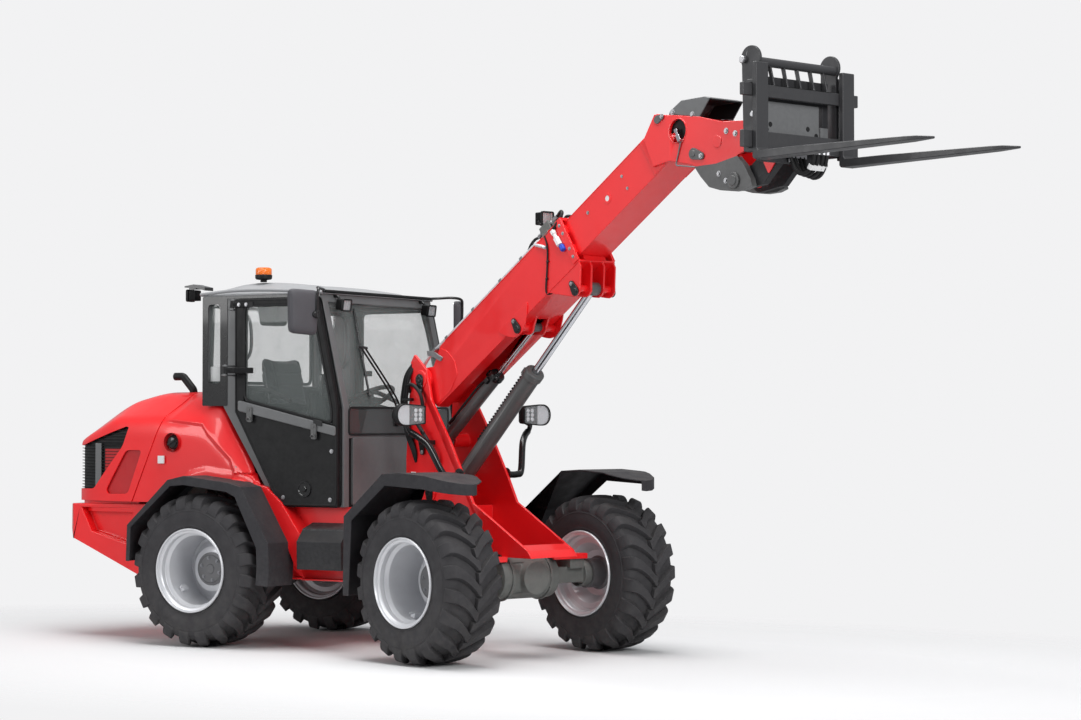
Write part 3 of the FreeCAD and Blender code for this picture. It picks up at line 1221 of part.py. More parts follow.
def place_on_origin(nodes):
    """Moves every piece so that zero is under the middle of the whole machine's footprint."""
    boxes = [shape.BoundBox for shape in nodes.values()]
    middle_x = (min(b.XMin for b in boxes) + max(b.XMax for b in boxes)) / 2
    middle_y = (min(b.YMin for b in boxes) + max(b.YMax for b in boxes)) / 2
    for shape in nodes.values():
        shape.translate(Vector(-middle_x, -middle_y, 0))
    return middle_x, middle_y


def main():
    os.makedirs("parts", exist_ok=True)
    nodes = {name: as_one(shape) for name, shape in solids().items()}
    middle = place_on_origin(nodes)
    print("nodes", len(nodes), "footprint middle", [round(v, 2) for v in middle])
    for name, shape in nodes.items():
        print(f"{name:24s} solids {len(shape.Solids)} litres {shape.Volume / 1e6:8.2f}")
        shape.exportStep(f"parts/{name}.step")


if __name__ == "__main__":
    main()
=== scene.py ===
# %% [markdown]
# # Looks of a telescopic wheel loader
#
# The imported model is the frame: it fixes every size, place and body. The cells below add the looks
# in layers: shape tools, materials, softened copies of the plain solids, then the wheels, the body
# skins, the cab, the boom and its hydraulics, and last the floor, the lights and the camera.

# %%
import json
import math

import bmesh
import bpy
import numpy as np
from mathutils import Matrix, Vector

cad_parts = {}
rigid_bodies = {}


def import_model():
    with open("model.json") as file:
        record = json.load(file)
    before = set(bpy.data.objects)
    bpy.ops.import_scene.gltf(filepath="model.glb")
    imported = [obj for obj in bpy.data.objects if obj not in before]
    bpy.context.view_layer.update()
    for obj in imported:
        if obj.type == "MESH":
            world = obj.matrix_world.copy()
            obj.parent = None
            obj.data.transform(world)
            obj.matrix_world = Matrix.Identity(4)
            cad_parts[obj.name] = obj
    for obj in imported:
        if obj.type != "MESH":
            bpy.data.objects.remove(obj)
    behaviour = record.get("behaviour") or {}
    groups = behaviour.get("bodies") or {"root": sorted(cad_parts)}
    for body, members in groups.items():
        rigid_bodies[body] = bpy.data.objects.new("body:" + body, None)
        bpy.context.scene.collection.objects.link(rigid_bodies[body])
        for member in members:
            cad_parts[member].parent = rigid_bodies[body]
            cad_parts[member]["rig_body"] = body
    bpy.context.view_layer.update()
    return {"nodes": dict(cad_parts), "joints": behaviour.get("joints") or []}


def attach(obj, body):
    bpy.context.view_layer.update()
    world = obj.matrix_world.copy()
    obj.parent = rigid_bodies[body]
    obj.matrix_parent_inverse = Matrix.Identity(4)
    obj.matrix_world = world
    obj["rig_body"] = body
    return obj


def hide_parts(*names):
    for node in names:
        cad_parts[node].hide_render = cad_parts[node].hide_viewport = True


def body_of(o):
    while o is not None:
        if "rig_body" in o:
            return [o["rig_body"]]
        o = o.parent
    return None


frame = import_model()
JOINTS = {joint["name"]: joint for joint in frame["joints"]}

# %% [markdown]
# ## Frames of reference
#
# Three 4 x 4 matrices carry local coordinates into the row frame: REAR has x forward along the rear
# frame with its origin on the ground under the articulation pins, FRONT is the same turned with the
# front frame, and BOOM has x along the boom and z square to it, from the boom's pin.

# %%
BOOM_ANGLE = math.radians(33)
BOOM_PIVOT = (0.500, 0.0, 1.770)


def turn(axis, angle):
    """Rotation matrix about x, y or z."""
    c, s = math.cos(angle), math.sin(angle)
    a, b = {"x": (1, 2), "y": (2, 0), "z": (0, 1)}[axis]
    m = np.eye(4)
    m[a, a], m[a, b], m[b, a], m[b, b] = c, -s, s, c
    return m


def shift(x, y, z):
    """Translation matrix."""
    m = np.eye(4)
    m[:3, 3] = (x, y, z)
    return m


def joint_at(name):
    """Where a joint stands in the frame."""
    return np.array(JOINTS[name]["pos_m"], dtype=float)


def joint_axis(name):
    """Unit direction of a joint's axis."""
    axis = np.array(JOINTS[name]["axis"], dtype=float)
    return axis / np.linalg.norm(axis)


PIVOT = joint_at("steering")
SPIN = joint_axis("front_right_wheel_spin")
SPIN = SPIN if SPIN[1] > 0 else -SPIN
YAW = math.atan2(-SPIN[0], SPIN[1])
REAR = shift(PIVOT[0], PIVOT[1], 0)
FRONT = REAR @ turn("z", YAW)
BOOM = FRONT @ shift(*BOOM_PIVOT) @ turn("y", -BOOM_ANGLE)
print("front frame turned", round(math.degrees(YAW), 2), "degrees; pivot", PIVOT.round(3))

# %% [markdown]
# ## Shape tools
#
# Every new piece is a list of shells. A shell is an array of points and a list of faces. The
# surfaces are grids of points worked out whole with numpy; `piece` welds them, turns their faces
# outward and hangs them on a body.

# %%


def grid_faces(rows, columns, wrap_rows=False, wrap_columns=False):
    """Quads between neighbouring points of a grid kept row after row."""
    i = np.arange(rows if wrap_rows else rows - 1)[:, None]
    j = np.arange(columns if wrap_columns else columns - 1)[None, :]
    k, m = (i + 1) % rows, (j + 1) % columns
    corners = [i * columns + j, k * columns + j, k * columns + m, i * columns + m]
    return np.stack(corners, axis=-1).reshape(-1, 4).tolist()


def skin(points, wrap_rows=False, wrap_columns=False, capped=False):
    """Shell of a (rows, columns, 3) grid; capped closes the first and the last row."""
    points = np.asarray(points, dtype=float)
    rows, columns = points.shape[:2]
    faces = grid_faces(rows, columns, wrap_rows, wrap_columns)
    if capped:
        faces += [list(range(columns))[::-1], list(range((rows - 1) * columns, rows * columns))]
    return points.reshape(-1, 3), faces


def lathe(profile, segments=96, middle=0.0, arc=(0.0, 2 * math.pi)):
    """Profile of (radius, distance along y) turned about the y axis: x = r cos t, z = r sin t."""
    r, y = np.asarray(profile, dtype=float).T
    t = np.linspace(arc[0], arc[1], segments, endpoint=False)[:, None]
    points = np.stack([r * np.cos(t), middle + y + 0 * t, r * np.sin(t)], axis=-1)
    return skin(points, wrap_rows=True)


def prism(outline, low, high, plane="xz"):
    """Outline in a plane, pushed from low to high along the third axis."""
    flat = np.asarray(outline, dtype=float)
    order = {"xz": (0, 2, 1), "xy": (0, 1, 2), "yz": (1, 2, 0)}[plane]
    rings = np.zeros((2, len(flat), 3))
    rings[..., order[0]], rings[..., order[1]] = flat[:, 0], flat[:, 1]
    rings[0, :, order[2]], rings[1, :, order[2]] = low, high
    return skin(rings, wrap_columns=True, capped=True)


def block(x, y, z):
    """Box between the given pairs of limits."""
    return prism([(x[0], z[0]), (x[1], z[0]), (x[1], z[1]), (x[0], z[1])], y[0], y[1])


def disc_outline(radius, sides=24, centre=(0.0, 0.0), start=0.0):
    """Points at equal angles round a circle."""
    t = start + np.linspace(0, 2 * math.pi, sides, endpoint=False)
    return np.stack([centre[0] + radius * np.cos(t), centre[1] + radius * np.sin(t)], axis=-1)


def rounded_outline(points, radius, steps=5):
    """Closed outline whose corners are arcs of the given radius, as far as the sides allow."""
    points = np.asarray(points, dtype=float)
    out = []
    for before, at, after in zip(np.roll(points, 1, 0), points, np.roll(points, -1, 0)):
        a, b = before - at, after - at
        la, lb = np.linalg.norm(a), np.linalg.norm(b)
        reach = min(radius, la * 0.45, lb * 0.45)
        s = np.linspace(0, 1, steps)[:, None]
        start, end = at + a / la * reach, at + b / lb * reach
        out.append((1 - s) ** 2 * start + 2 * s * (1 - s) * at + s ** 2 * end)
    return np.concatenate(out)


def smooth_path(points, steps=10):
    """Catmull-Rom curve through the points."""
    p = np.asarray(points, dtype=float)
    p = np.concatenate([[2 * p[0] - p[1]], p, [2 * p[-1] - p[-2]]])
    t = np.linspace(0, 1, steps, endpoint=False)[None, :, None]
    a, b, c, d = (p[k:len(p) - 3 + k, None, :] for k in range(4))
    curve = 0.5 * (2 * b + (c - a) * t + (2 * a - 5 * b + 4 * c - d) * t ** 2
                   + (3 * b - a - 3 * c + d) * t ** 3)
    return np.concatenate([curve.reshape(-1, p.shape[1]), p[-2:-1]])


def swept(path, section, scale=None):
    """Closed section of (side, up) points carried square to a path; scale thins it on the way."""
    path, section = np.asarray(path, dtype=float), np.asarray(section, dtype=float)
    along = np.gradient(path, axis=0)
    along /= np.linalg.norm(along, axis=1)[:, None]
    side = np.cross([0, 0, 1.0], along[0])
    side = side if np.linalg.norm(side) > 0.1 else np.cross([0, 1.0, 0], along[0])
    rings = []
    for k, (at, way) in enumerate(zip(path, along)):
        side = side - way * side.dot(way)
        side /= np.linalg.norm(side)
        up = np.cross(way, side)
        size = 1.0 if scale is None else scale[k]
        rings.append(at + size * (section[:, :1] * side + section[:, 1:] * up))
    return skin(rings, wrap_columns=True, capped=True)


def pipe(path, radius, sides=14, smooth=True):
    """Round bar along a path."""
    path = smooth_path(path) if smooth else path
    return swept(path, disc_outline(radius, sides))


def hex_bolt(at, axis, radius=0.012, sides=6, washer=True):
    """Bolt head with its washer; axis is the way the head looks."""
    height = radius * 0.75
    shells = [prism(disc_outline(radius, sides), 0, height, "xy")]
    if washer:
        shells.append(prism(disc_outline(radius * 1.45, 18), -0.002, radius * 0.22, "xy"))
    z = np.asarray(axis, dtype=float) / np.linalg.norm(axis)
    x = np.cross([0.3, 0.5, 0.8], z)
    x /= np.linalg.norm(x)
    m = np.eye(4)
    m[:3, :3] = np.stack([x, np.cross(z, x), z], axis=1)
    m[:3, 3] = at
    return [placed(shell, m) for shell in shells]


def placed(shell, matrix):
    """The shell carried by a 4 x 4 matrix."""
    points, faces = shell
    return points @ matrix[:3, :3].T + matrix[:3, 3], faces


def boss(profile, sides, at, axis, angle):
    """Turned part, turned again about an axis and set at a place."""
    return placed(lathe(profile, sides), shift(*at) @ turn(axis, angle))


def stepped(outline, middle, steps):
    """Closed shell along x: at each (x, size) the outline is scaled about its middle."""
    outline, middle = np.asarray(outline, dtype=float), np.asarray(middle, dtype=float)
    rows = [np.insert(middle + (outline - middle) * size, 0, x, axis=1) for x, size in steps]
    return skin(rows, wrap_columns=True, capped=True)


def mirrored(shells):
    """The shells and their copies on the other side of y = 0."""
    return list(shells) + [(points * (1, -1, 1), [f[::-1] for f in faces]) for points, faces in shells]


def mesh_of(name, shells, matrix, weld=1e-5):
    """One mesh of all the shells, welded, with its faces outward."""
    points, faces, start = [], [], 0
    for shell_points, shell_faces in shells:
        points.append(shell_points)
        faces += [[k + start for k in face] for face in shell_faces]
        start += len(shell_points)
    points = np.concatenate(points) @ matrix[:3, :3].T + matrix[:3, 3]
    mesh = bpy.data.meshes.new(name)
    mesh.from_pydata(points.tolist(), [], faces)
    bm = bmesh.new()
    bm.from_mesh(mesh)
    bmesh.ops.remove_doubles(bm, verts=bm.verts, dist=weld)
    bmesh.ops.recalc_face_normals(bm, faces=bm.faces)
    bm.to_mesh(mesh)
    bm.free()
    return mesh


def bevelled(obj, width, segments=2, angle=30):
    """Rounds the edges sharper than angle."""
    mod = obj.modifiers.new("Rounding", "BEVEL")
    mod.width, mod.segments = width, segments
    mod.limit_method, mod.angle_limit = "ANGLE", math.radians(angle)
    mod.use_clamp_overlap = True
    mod.harden_normals = True
    return mod


def dressed(obj, look, body, stands_for=()):
    """Gives a piece its material and the body that it rides on."""
    obj.data.materials.clear()
    obj.data.materials.append(LOOKS[look])
    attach(obj, body)
    if stands_for:
        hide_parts(*([stands_for] if isinstance(stands_for, str) else stands_for))
    return obj


def piece(name, shells, look, body, place=REAR, bevel=0.0, angle=30, stands_for=(), flat=False):
    """A new object from shells in a local frame, rounded, dressed and hung on its body."""
    mesh = mesh_of(name, shells, place)
    if not flat:
        mesh.shade_smooth()
        mesh.set_sharp_from_angle(angle=math.radians(angle))
    obj = bpy.data.objects.new(name, mesh)
    bpy.context.scene.collection.objects.link(obj)
    if bevel:
        bevelled(obj, bevel, 2, angle)
    return dressed(obj, look, body, stands_for)


def softened(node, look, body, width=0.003, angle=28):
    """A copy of a plain solid with its edges rounded where both faces are wide enough for it."""
    bm = bmesh.new()
    bm.from_mesh(frame["nodes"][node].data)
    bmesh.ops.remove_doubles(bm, verts=bm.verts, dist=2e-5)
    bmesh.ops.dissolve_limit(bm, angle_limit=math.radians(0.7), verts=bm.verts, edges=bm.edges)
    weight = bm.edges.layers.float.new("bevel_weight_edge")
    for edge in bm.edges:
        if not edge.is_manifold or edge.calc_face_angle(0) < math.radians(angle):
            continue
        depth = min(face.calc_area() for face in edge.link_faces) / max(edge.calc_length(), 1e-6)
        if depth > 1.5 * width and edge.calc_length() > 1.5 * width:
            edge[weight] = 1.0
    mesh = bpy.data.meshes.new(node + "_soft")
    bm.to_mesh(mesh)
    bm.free()
    mesh.shade_smooth()
    mesh.set_sharp_from_angle(angle=math.radians(angle))
    obj = bpy.data.objects.new(node + "_soft", mesh)
    bpy.context.scene.collection.objects.link(obj)
    mod = bevelled(obj, width, 2)
    mod.limit_method, mod.use_clamp_overlap = "WEIGHT", False
    return dressed(obj, look, body, node)


print("shape tools ready")

# %% [markdown]
# ## Materials
#
# Each finish is a small node graph: a base colour that drifts with noise, roughness that drifts at
# another scale, a fine bump for the paint's orange peel or the plastic's grain, dust that settles on
# faces looking up and near the ground, and a lighter colour along convex edges that is partly wear
# and partly a painted highlight.

# %%
LOOKS = {}


def linear(*rgb):
    """Linear colour from 8-bit display values."""
    c = np.array(rgb, dtype=float) / 255
    c = np.where(c <= 0.04045, c / 12.92, ((c + 0.055) / 1.055) ** 2.4)
    return (*c.tolist(), 1.0)


class Graph:
    """A material's node tree with short ways to add and join nodes."""

    def __init__(self, name):
        self.material = bpy.data.materials.new(name)
        self.material.use_nodes = True
        self.nodes = self.material.node_tree.nodes
        self.links = self.material.node_tree.links
        self.shader = self.nodes["Principled BSDF"]
        self.where = self.nodes.new("ShaderNodeTexCoord").outputs["Object"]

    def node(self, kind, inputs=(), out=0, **settings):
        """Adds a node; inputs maps a socket's name or number to a value or to another socket."""
        node = self.nodes.new("ShaderNode" + kind)
        for key, value in settings.items():
            setattr(node, key, value)
        for key, value in dict(inputs).items():
            if isinstance(value, bpy.types.NodeSocket):
                self.links.new(value, node.inputs[key])
            else:
                node.inputs[key].default_value = value
        return node.outputs[out]

    def set(self, **values):
        """Sets the shader's inputs; an underscore in a name stands for a space."""
        for key, value in values.items():
            socket = self.shader.inputs[key.replace("_", " ")]
            if isinstance(value, bpy.types.NodeSocket):
                self.links.new(value, socket)
            else:
                socket.default_value = value

    def noise(self, scale, detail=4.0, rough=0.55, stretch=None):
        """Fractal noise over the object's own place."""
        where = self.where
        if stretch:
            where = self.node("Mapping", {"Vector": where, "Scale": stretch})
        return self.node("TexNoise", {"Vector": where, "Scale": scale, "Detail": detail, "Roughness": rough})

    def between(self, value, low, high, to_low=0.0, to_high=1.0):
        """The value carried from low..high to to_low..to_high, held at the ends."""
        return self.node("MapRange", {0: value, 1: low, 2: high, 3: to_low, 4: to_high})

    def mix(self, factor, a, b, how="MIX"):
        """Blend of two colours by a factor."""
        node = self.nodes.new("ShaderNodeMix")
        node.data_type, node.blend_type = "RGBA", how
        for key, value in ((0, factor), (6, a), (7, b)):
            if isinstance(value, bpy.types.NodeSocket):
                self.links.new(value, node.inputs[key])
            else:
                node.inputs[key].default_value = value
        return node.outputs[2]

    def times(self, a, b, operation="MULTIPLY"):
        """Product of two values, or another plain operation."""
        return self.node("Math", {0: a, 1: b}, operation=operation)

    def bump(self, height, strength, distance=0.001, below=None):
        """Normal from a height, over another one if given."""
        inputs = {"Height": height, "Strength": strength, "Distance": distance}
        if below is not None:
            inputs["Normal"] = below
        return self.node("Bump", inputs)


def finish(name, colour, second=None, rough=0.5, metal=0.0, coat=0.0, patch=3.0, vary=0.12, grain=900.0,
           grain_depth=0.25, grain_size=0.0004, dust=0.0, dust_colour=(150, 144, 134), edge=0.0,
           edge_wear_and_highlight_colour=(150, 150, 150), sheen=0.0, stretch=None, shine=0.5):
    """Painted, moulded, cast or bare surface, by its numbers."""
    g = Graph(name)
    base = linear(*colour)
    other = linear(*(second or [c * 0.82 for c in colour]))
    drift = g.between(g.noise(patch, 5.0), 0.35, 0.7)
    shade = g.mix(g.times(drift, min(1.0, vary * 4)), base, other)
    speck = g.between(g.noise(60.0, 3.0), 0.42, 0.62)
    shade = g.mix(g.times(speck, vary * 0.6), shade, other)
    roughness = g.between(g.noise(14.0, 6.0), 0.3, 0.7, rough * 0.85, min(1.0, rough * 1.2))
    if dust:
        normal = g.nodes.new("ShaderNodeNewGeometry").outputs["Normal"]
        up = g.node("SeparateXYZ", {0: normal}, out=2)
        height = g.node("SeparateXYZ", {0: g.where}, out=2)
        settled = g.times(g.between(up, 0.2, 1.0), g.between(g.noise(9.0, 6.0), 0.3, 0.75))
        splash = g.times(g.between(height, 0.75, 0.0), g.between(g.noise(22.0, 5.0), 0.35, 0.7))
        layer = g.times(g.times(settled, splash, "MAXIMUM"), dust)
        shade = g.mix(layer, shade, linear(*dust_colour))
        roughness = g.times(roughness, g.times(layer, 0.35), "ADD")
    # Convex edges take a lighter colour: partly wear, partly a painted highlight.
    if edge:
        convex = g.nodes.new("ShaderNodeNewGeometry").outputs["Pointiness"]
        edge_wear_and_highlight = g.times(g.between(convex, 0.53, 0.62), g.between(g.noise(40.0, 4.0), 0.35, 0.6))
        shade = g.mix(g.times(edge_wear_and_highlight, edge), shade, linear(*edge_wear_and_highlight_colour))
    fine = g.bump(g.noise(grain, 3.0, stretch=stretch), grain_depth, grain_size)
    broad = g.bump(g.noise(26.0, 3.0), 0.05, 0.002, fine)
    g.set(Base_Color=shade, Roughness=roughness, Metallic=metal, Normal=broad, Specular_IOR_Level=shine)
    if coat:
        g.set(Coat_Weight=coat, Coat_Roughness=0.06)
    if sheen:
        g.set(Sheen_Weight=sheen, Sheen_Roughness=0.5)
    LOOKS[name] = g.material
    return g


def clear(name, colour, opacity, rough=0.02):
    """Thin pane: mostly see-through, with a coat that mirrors the surroundings and faint smears."""
    g = Graph(name)
    smear = g.between(g.noise(5.0, 8.0, 0.7), 0.45, 0.8)
    g.set(Base_Color=linear(*colour), Roughness=g.between(smear, 0, 1, rough, rough + 0.1),
          IOR=1.45, Coat_Weight=1.0, Coat_Roughness=0.01,
          Alpha=g.between(smear, 0, 1, opacity, min(1.0, opacity + 0.05)))
    LOOKS[name] = g.material
    return g


finish("red", (240, 20, 26), (226, 13, 19), rough=0.36, coat=0.5, patch=1.6, grain=420.0, grain_depth=0.10,
       grain_size=0.0003, dust=0.05, edge=0.08, edge_wear_and_highlight_colour=(235, 70, 70))
# Darker copy of the red: painted shade for the fuel cap's recess and the recessed vent screens.
finish("red_painted_shade", (190, 14, 22), (160, 10, 16), rough=0.55, coat=0.2, grain=260.0, dust=0.12)
finish("dark_grey", (44, 44, 46), (37, 37, 39), shine=0.25, rough=0.52, grain=700.0, grain_depth=0.35,
       dust=0.08, edge=0.2, edge_wear_and_highlight_colour=(112, 112, 114))
finish("fender", (48, 47, 50), (41, 40, 43), shine=0.25, rough=0.62, grain=520.0, grain_depth=0.5,
       grain_size=0.0006, dust=0.1, edge=0.25, edge_wear_and_highlight_colour=(98, 98, 100))
finish("grey", (98, 99, 100), (86, 87, 88), rough=0.45, coat=0.15, grain=600.0, dust=0.07, edge=0.15)
finish("hub", (112, 112, 114), (96, 96, 98), rough=0.42, metal=0.3, grain=380.0, dust=0.1, edge=0.2)
finish("silver", (216, 217, 220), (202, 203, 207), rough=0.34, metal=0.25, coat=0.3, grain=800.0,
       grain_depth=0.15, dust=0.07)
finish("black", (20, 20, 21), (14, 14, 15), shine=0.25, rough=0.5, grain=650.0, grain_depth=0.4, dust=0.05,
       edge=0.12, edge_wear_and_highlight_colour=(84, 84, 86))
finish("gloss_black", (24, 24, 25), (17, 17, 18), shine=0.25, rough=0.28, coat=0.5, grain=500.0,
       grain_depth=0.12)
finish("roof_grey", (150, 151, 153), (138, 139, 141), rough=0.5, grain=500.0, dust=0.05)
finish("grey_plastic", (80, 79, 83), (72, 71, 75), shine=0.25, rough=0.55, grain=600.0, grain_depth=0.4,
       dust=0.04)
finish("mesh", (44, 45, 45), (30, 30, 31), rough=0.6, grain=300.0, dust=0.1)
finish("rubber", (30, 30, 31), (22, 22, 23), shine=0.25, rough=0.55, grain=900.0, grain_depth=0.5, dust=0.05)
finish("tyre", (58, 57, 59), (46, 45, 47), shine=0.25, rough=0.66, patch=7.0, vary=0.16, grain=340.0,
       grain_depth=0.5, grain_size=0.0008, dust=0.22, dust_colour=(104, 101, 97), edge=0.3,
       edge_wear_and_highlight_colour=(88, 86, 86))
finish("chrome", (214, 216, 220), (196, 198, 204), rough=0.09, metal=1.0, grain=900.0, grain_depth=0.05,
       stretch=(1, 1, 40))
finish("steel", (168, 168, 170), (138, 138, 142), rough=0.34, metal=0.9, grain=700.0, edge=0.2)
finish("bolt", (150, 151, 154), (112, 112, 116), rough=0.36, metal=0.85, grain=500.0)
finish("fork", (48, 48, 50), (43, 43, 45), rough=0.5, coat=0.1, patch=1.2, vary=0.05, grain=500.0,
       grain_depth=0.3, dust=0.02, edge=0.1, edge_wear_and_highlight_colour=(96, 95, 93))
finish("cylinder", (84, 84, 84), (72, 72, 72), rough=0.42, coat=0.15, grain=420.0, dust=0.07, edge=0.2)
finish("cast", (104, 106, 103), (84, 86, 84), rough=0.6, metal=0.15, patch=9.0, grain=160.0, grain_depth=0.6,
       grain_size=0.0012, dust=0.14, edge=0.25)
finish("plate", (128, 128, 130), (112, 112, 114), rough=0.4, metal=0.4, grain=600.0)
finish("stitch", (120, 120, 122), rough=0.8, grain=1200.0)
finish("blue", (30, 70, 190), rough=0.4, grain=600.0)
finish("white", (226, 226, 226), (212, 212, 212), rough=0.5, grain=500.0, grain_depth=0.1)
finish("mirror", (225, 228, 232), rough=0.03, metal=1.0, grain=100.0, grain_depth=0.02)
clear("glass", (150, 158, 156), 0.16)
clear("tinted", (60, 64, 64), 0.45)
clear("lens", (225, 228, 230), 0.12, 0.05)


def fabric():
    """Woven seat cloth: two crossed waves for the weave over a mottled charcoal."""
    g = finish("fabric", (52, 53, 56), (40, 41, 44), rough=0.88, grain=1400.0, grain_depth=0.4, sheen=0.35)
    warp = g.node("TexWave", {"Vector": g.where, "Scale": 420.0, "Distortion": 0.6}, bands_direction="X")
    weft = g.node("TexWave", {"Vector": g.where, "Scale": 420.0, "Distortion": 0.6}, bands_direction="Z")
    g.set(Normal=g.bump(g.times(warp, weft), 0.5, 0.0006))


def ribbed_amber():
    """Beacon lens: orange plastic with moulded upright ribs and its own glow."""
    g = finish("amber", (240, 122, 18), (214, 92, 8), rough=0.2, coat=0.6, grain=500.0, grain_depth=0.1)
    ribs = g.node("TexWave", {"Vector": g.where, "Scale": 60.0}, bands_direction="DIAGONAL")
    g.set(Normal=g.bump(ribs, 0.5, 0.002), Emission_Color=linear(235, 110, 10), Emission_Strength=0.12)


def led_squares():
    """Lamp insert: a field of small bright squares between dark bars."""
    g = finish("leds", (40, 41, 42), rough=0.3, coat=0.8, grain=300.0, grain_depth=0.05)
    cells = g.node("TexBrick", {"Vector": g.where, "Color1": linear(170, 172, 174),
                                "Color2": linear(120, 122, 124), "Mortar": linear(26, 26, 28),
                                "Scale": 28.0, "Mortar Size": 0.03, "Brick Width": 0.6, "Row Height": 0.6})
    g.set(Base_Color=cells)


fabric()
ribbed_amber()
led_squares()
print(len(LOOKS), "materials")

# %% [markdown]
# ## Plain solids, softened
#
# Steel, cast and moulded pieces whose shape is already right are copied, and the copy's edges are
# rounded so that they catch the light as bent sheet, welded plate and castings do.

# %%
BODY_OF = {name: body_of(obj)[0] for name, obj in frame["nodes"].items()}
SOFT = {
    "red": {"body_sides": 0.004, "rear_chassis": 0.004, "front_chassis": 0.004, "counterweight": 0.007,
            "boom": 0.004, "inner_boom": 0.004, "boom_head": 0.004},
    "fender": {"rear_fenders": 0.003, "front_fenders": 0.003},
    "dark_grey": {"hitch": 0.004, "cab_steps": 0.004}, "fork": {"fork_carriage": 0.004, "forks": 0.005},
    "grey": {"cab_frame": 0.004, "head_cover": 0.006},
    "black": {"cab_base": 0.006, "side_console": 0.008, "seat_base": 0.006, "tow_coupling": 0.004,
              "exhaust_pipe": 0.004, "right_door": 0.004, "left_door": 0.004},
    "cast": {"rear_axle": 0.006, "front_axle": 0.006, "engine_block": 0.008},
    "cylinder": {"lift_barrel": 0.003, "level_barrel": 0.003, "tilt_barrel": 0.003},
    "chrome": {"lift_rod": 0.001, "level_rod": 0.001, "tilt_rod": 0.001}, }
for look, nodes in SOFT.items():
    for node, width in nodes.items():
        softened(node, look, BODY_OF[node], width)
print("softened", sum(len(nodes) for nodes in SOFT.values()), "nodes")

# %% [markdown]
# ## Glass
#
# The panes keep their own solids and take a thin, faintly smeared glass.

# %%
for node, look in (("windscreen", "glass"), ("rear_windows", "glass"), ("right_door_glass", "glass"),
                   ("left_door_glass", "glass")):
    pane = frame["nodes"][node]
    for place in pane.material_slots:
        place.material = LOOKS[look]
print("panes:", len(bpy.data.meshes), "meshes so far")

# %% [markdown]
# ## Wheels
#
# Local frame of a wheel: y outward along the axle, origin at its centre. The tyre is a carcass
# turned from a smooth section, with bars laid over it. A bar is a strip between two sections, one
# on the carcass and one on the tread's envelope; its angle round the tyre grows from the middle of
# the tread to the shoulder as 1 - (1 - a / w) ** 1.7, so it leaves the shoulder almost square and
# turns towards the middle.

# %%
HALF_TRACK, TYRE_RADIUS = 0.738, 0.508
BARS, SWEEP, TREAD_HALF = 20, 0.27, 0.20
CARCASS = [(0.256, 0.186), (0.270, 0.193), (0.290, 0.200), (0.296, 0.2035), (0.302, 0.2020), (0.344, 0.2085),
           (0.392, 0.2060), (0.396, 0.2075), (0.400, 0.2050), (0.430, 0.196), (0.455, 0.174), (0.470, 0.13),
           (0.477, 0.06), (0.478, 0.0)]
BAR_FOOT = [(-0.016, 0.470), (0.060, 0.470), (0.120, 0.466), (0.158, 0.456), (0.180, 0.440), (0.196, 0.418),
            (0.200, 0.404)]
BAR_TOP = [(-0.012, 0.5075), (0.060, 0.5075), (0.120, 0.5050), (0.166, 0.4960), (0.190, 0.4760),
           (0.2035, 0.4420), (0.2065, 0.4140)]


def tread_bar(start, way, side):
    """Bar from the tread's middle to the shoulder, start radians round the tyre, on one side of it."""
    foot, top = smooth_path(BAR_FOOT, 4), smooth_path(BAR_TOP, 4)
    across = np.clip(top[:, 0] / TREAD_HALF, 0, 1)
    lead = start + way * SWEEP * (1 - (1 - across) ** 1.7)
    hook = np.exp(-(across / 0.10) ** 2)
    half_top = 0.026 + 0.012 * across + 0.004 * hook
    half_foot = half_top + 0.013 - 0.005 * across
    rows = []
    for edge, half, line in ((-1, half_foot, foot), (-1, half_top, top), (1, half_top, top),
                             (1, half_foot, foot)):
        angle = lead + edge * half / line[:, 1]
        rows.append(np.stack([line[:, 1] * np.cos(angle), side * line[:, 0], line[:, 1] * np.sin(angle)],
                             axis=-1))
    return skin(np.stack(rows, axis=1), wrap_columns=True, capped=True)


def tyre(name, place, way):
    """Carcass turned from half of its section, with lugs on the tread and plain sidewalls."""
    half = smooth_path(CARCASS, 4)
    outline = np.concatenate([half, half[-2::-1] * (1, -1), [(0.254, -0.17), (0.254, 0.17)]])
    piece(name + "_carcass", [lathe(outline, 128)], "tyre", name.replace("tyre", "wheel"), place,
          stands_for=name, angle=50)
    pitch = 2 * math.pi / BARS
    bars = [tread_bar(pitch * (k + 0.25 * side), way, side) for k in range(BARS) for side in (-1, 1)]
    piece(name + "_bars", bars, "tyre", name.replace("tyre", "wheel"), place, bevel=0.0045, angle=38)


FLANGE = [(0.2545, 0.1890), (0.2700, 0.1935), (0.2790, 0.1985), (0.2795, 0.2070), (0.2765, 0.2118),
          (0.2705, 0.2118), (0.2672, 0.2060), (0.2655, 0.1950), (0.2525, 0.1905), (0.2482, 0.1840),
          (0.2475, 0.1580), (0.2512, 0.1520), (0.2505, 0.1460), (0.2445, 0.1425), (0.2310, 0.1290),
          (0.2298, 0.1200)]
DISC = [(0.2305, -0.1180), (0.2220, -0.1150), (0.2060, -0.1080), (0.1500, -0.0430), (0.1240, -0.0350),
        (0.1110, -0.0340), (0.1110, -0.0480), (0.1480, -0.0580), (0.1980, -0.1240), (0.2305, -0.1300)]
HUB = [(0.0001, -0.0150), (0.0300, -0.0150), (0.0345, -0.0190), (0.0900, -0.0190), (0.0960, -0.0235),
       (0.1105, -0.0250), (0.1110, -0.0480), (0.0950, -0.0600), (0.0950, -0.1640), (0.0480, -0.1640),
       (0.0480, -0.0400), (0.0001, -0.0400)]


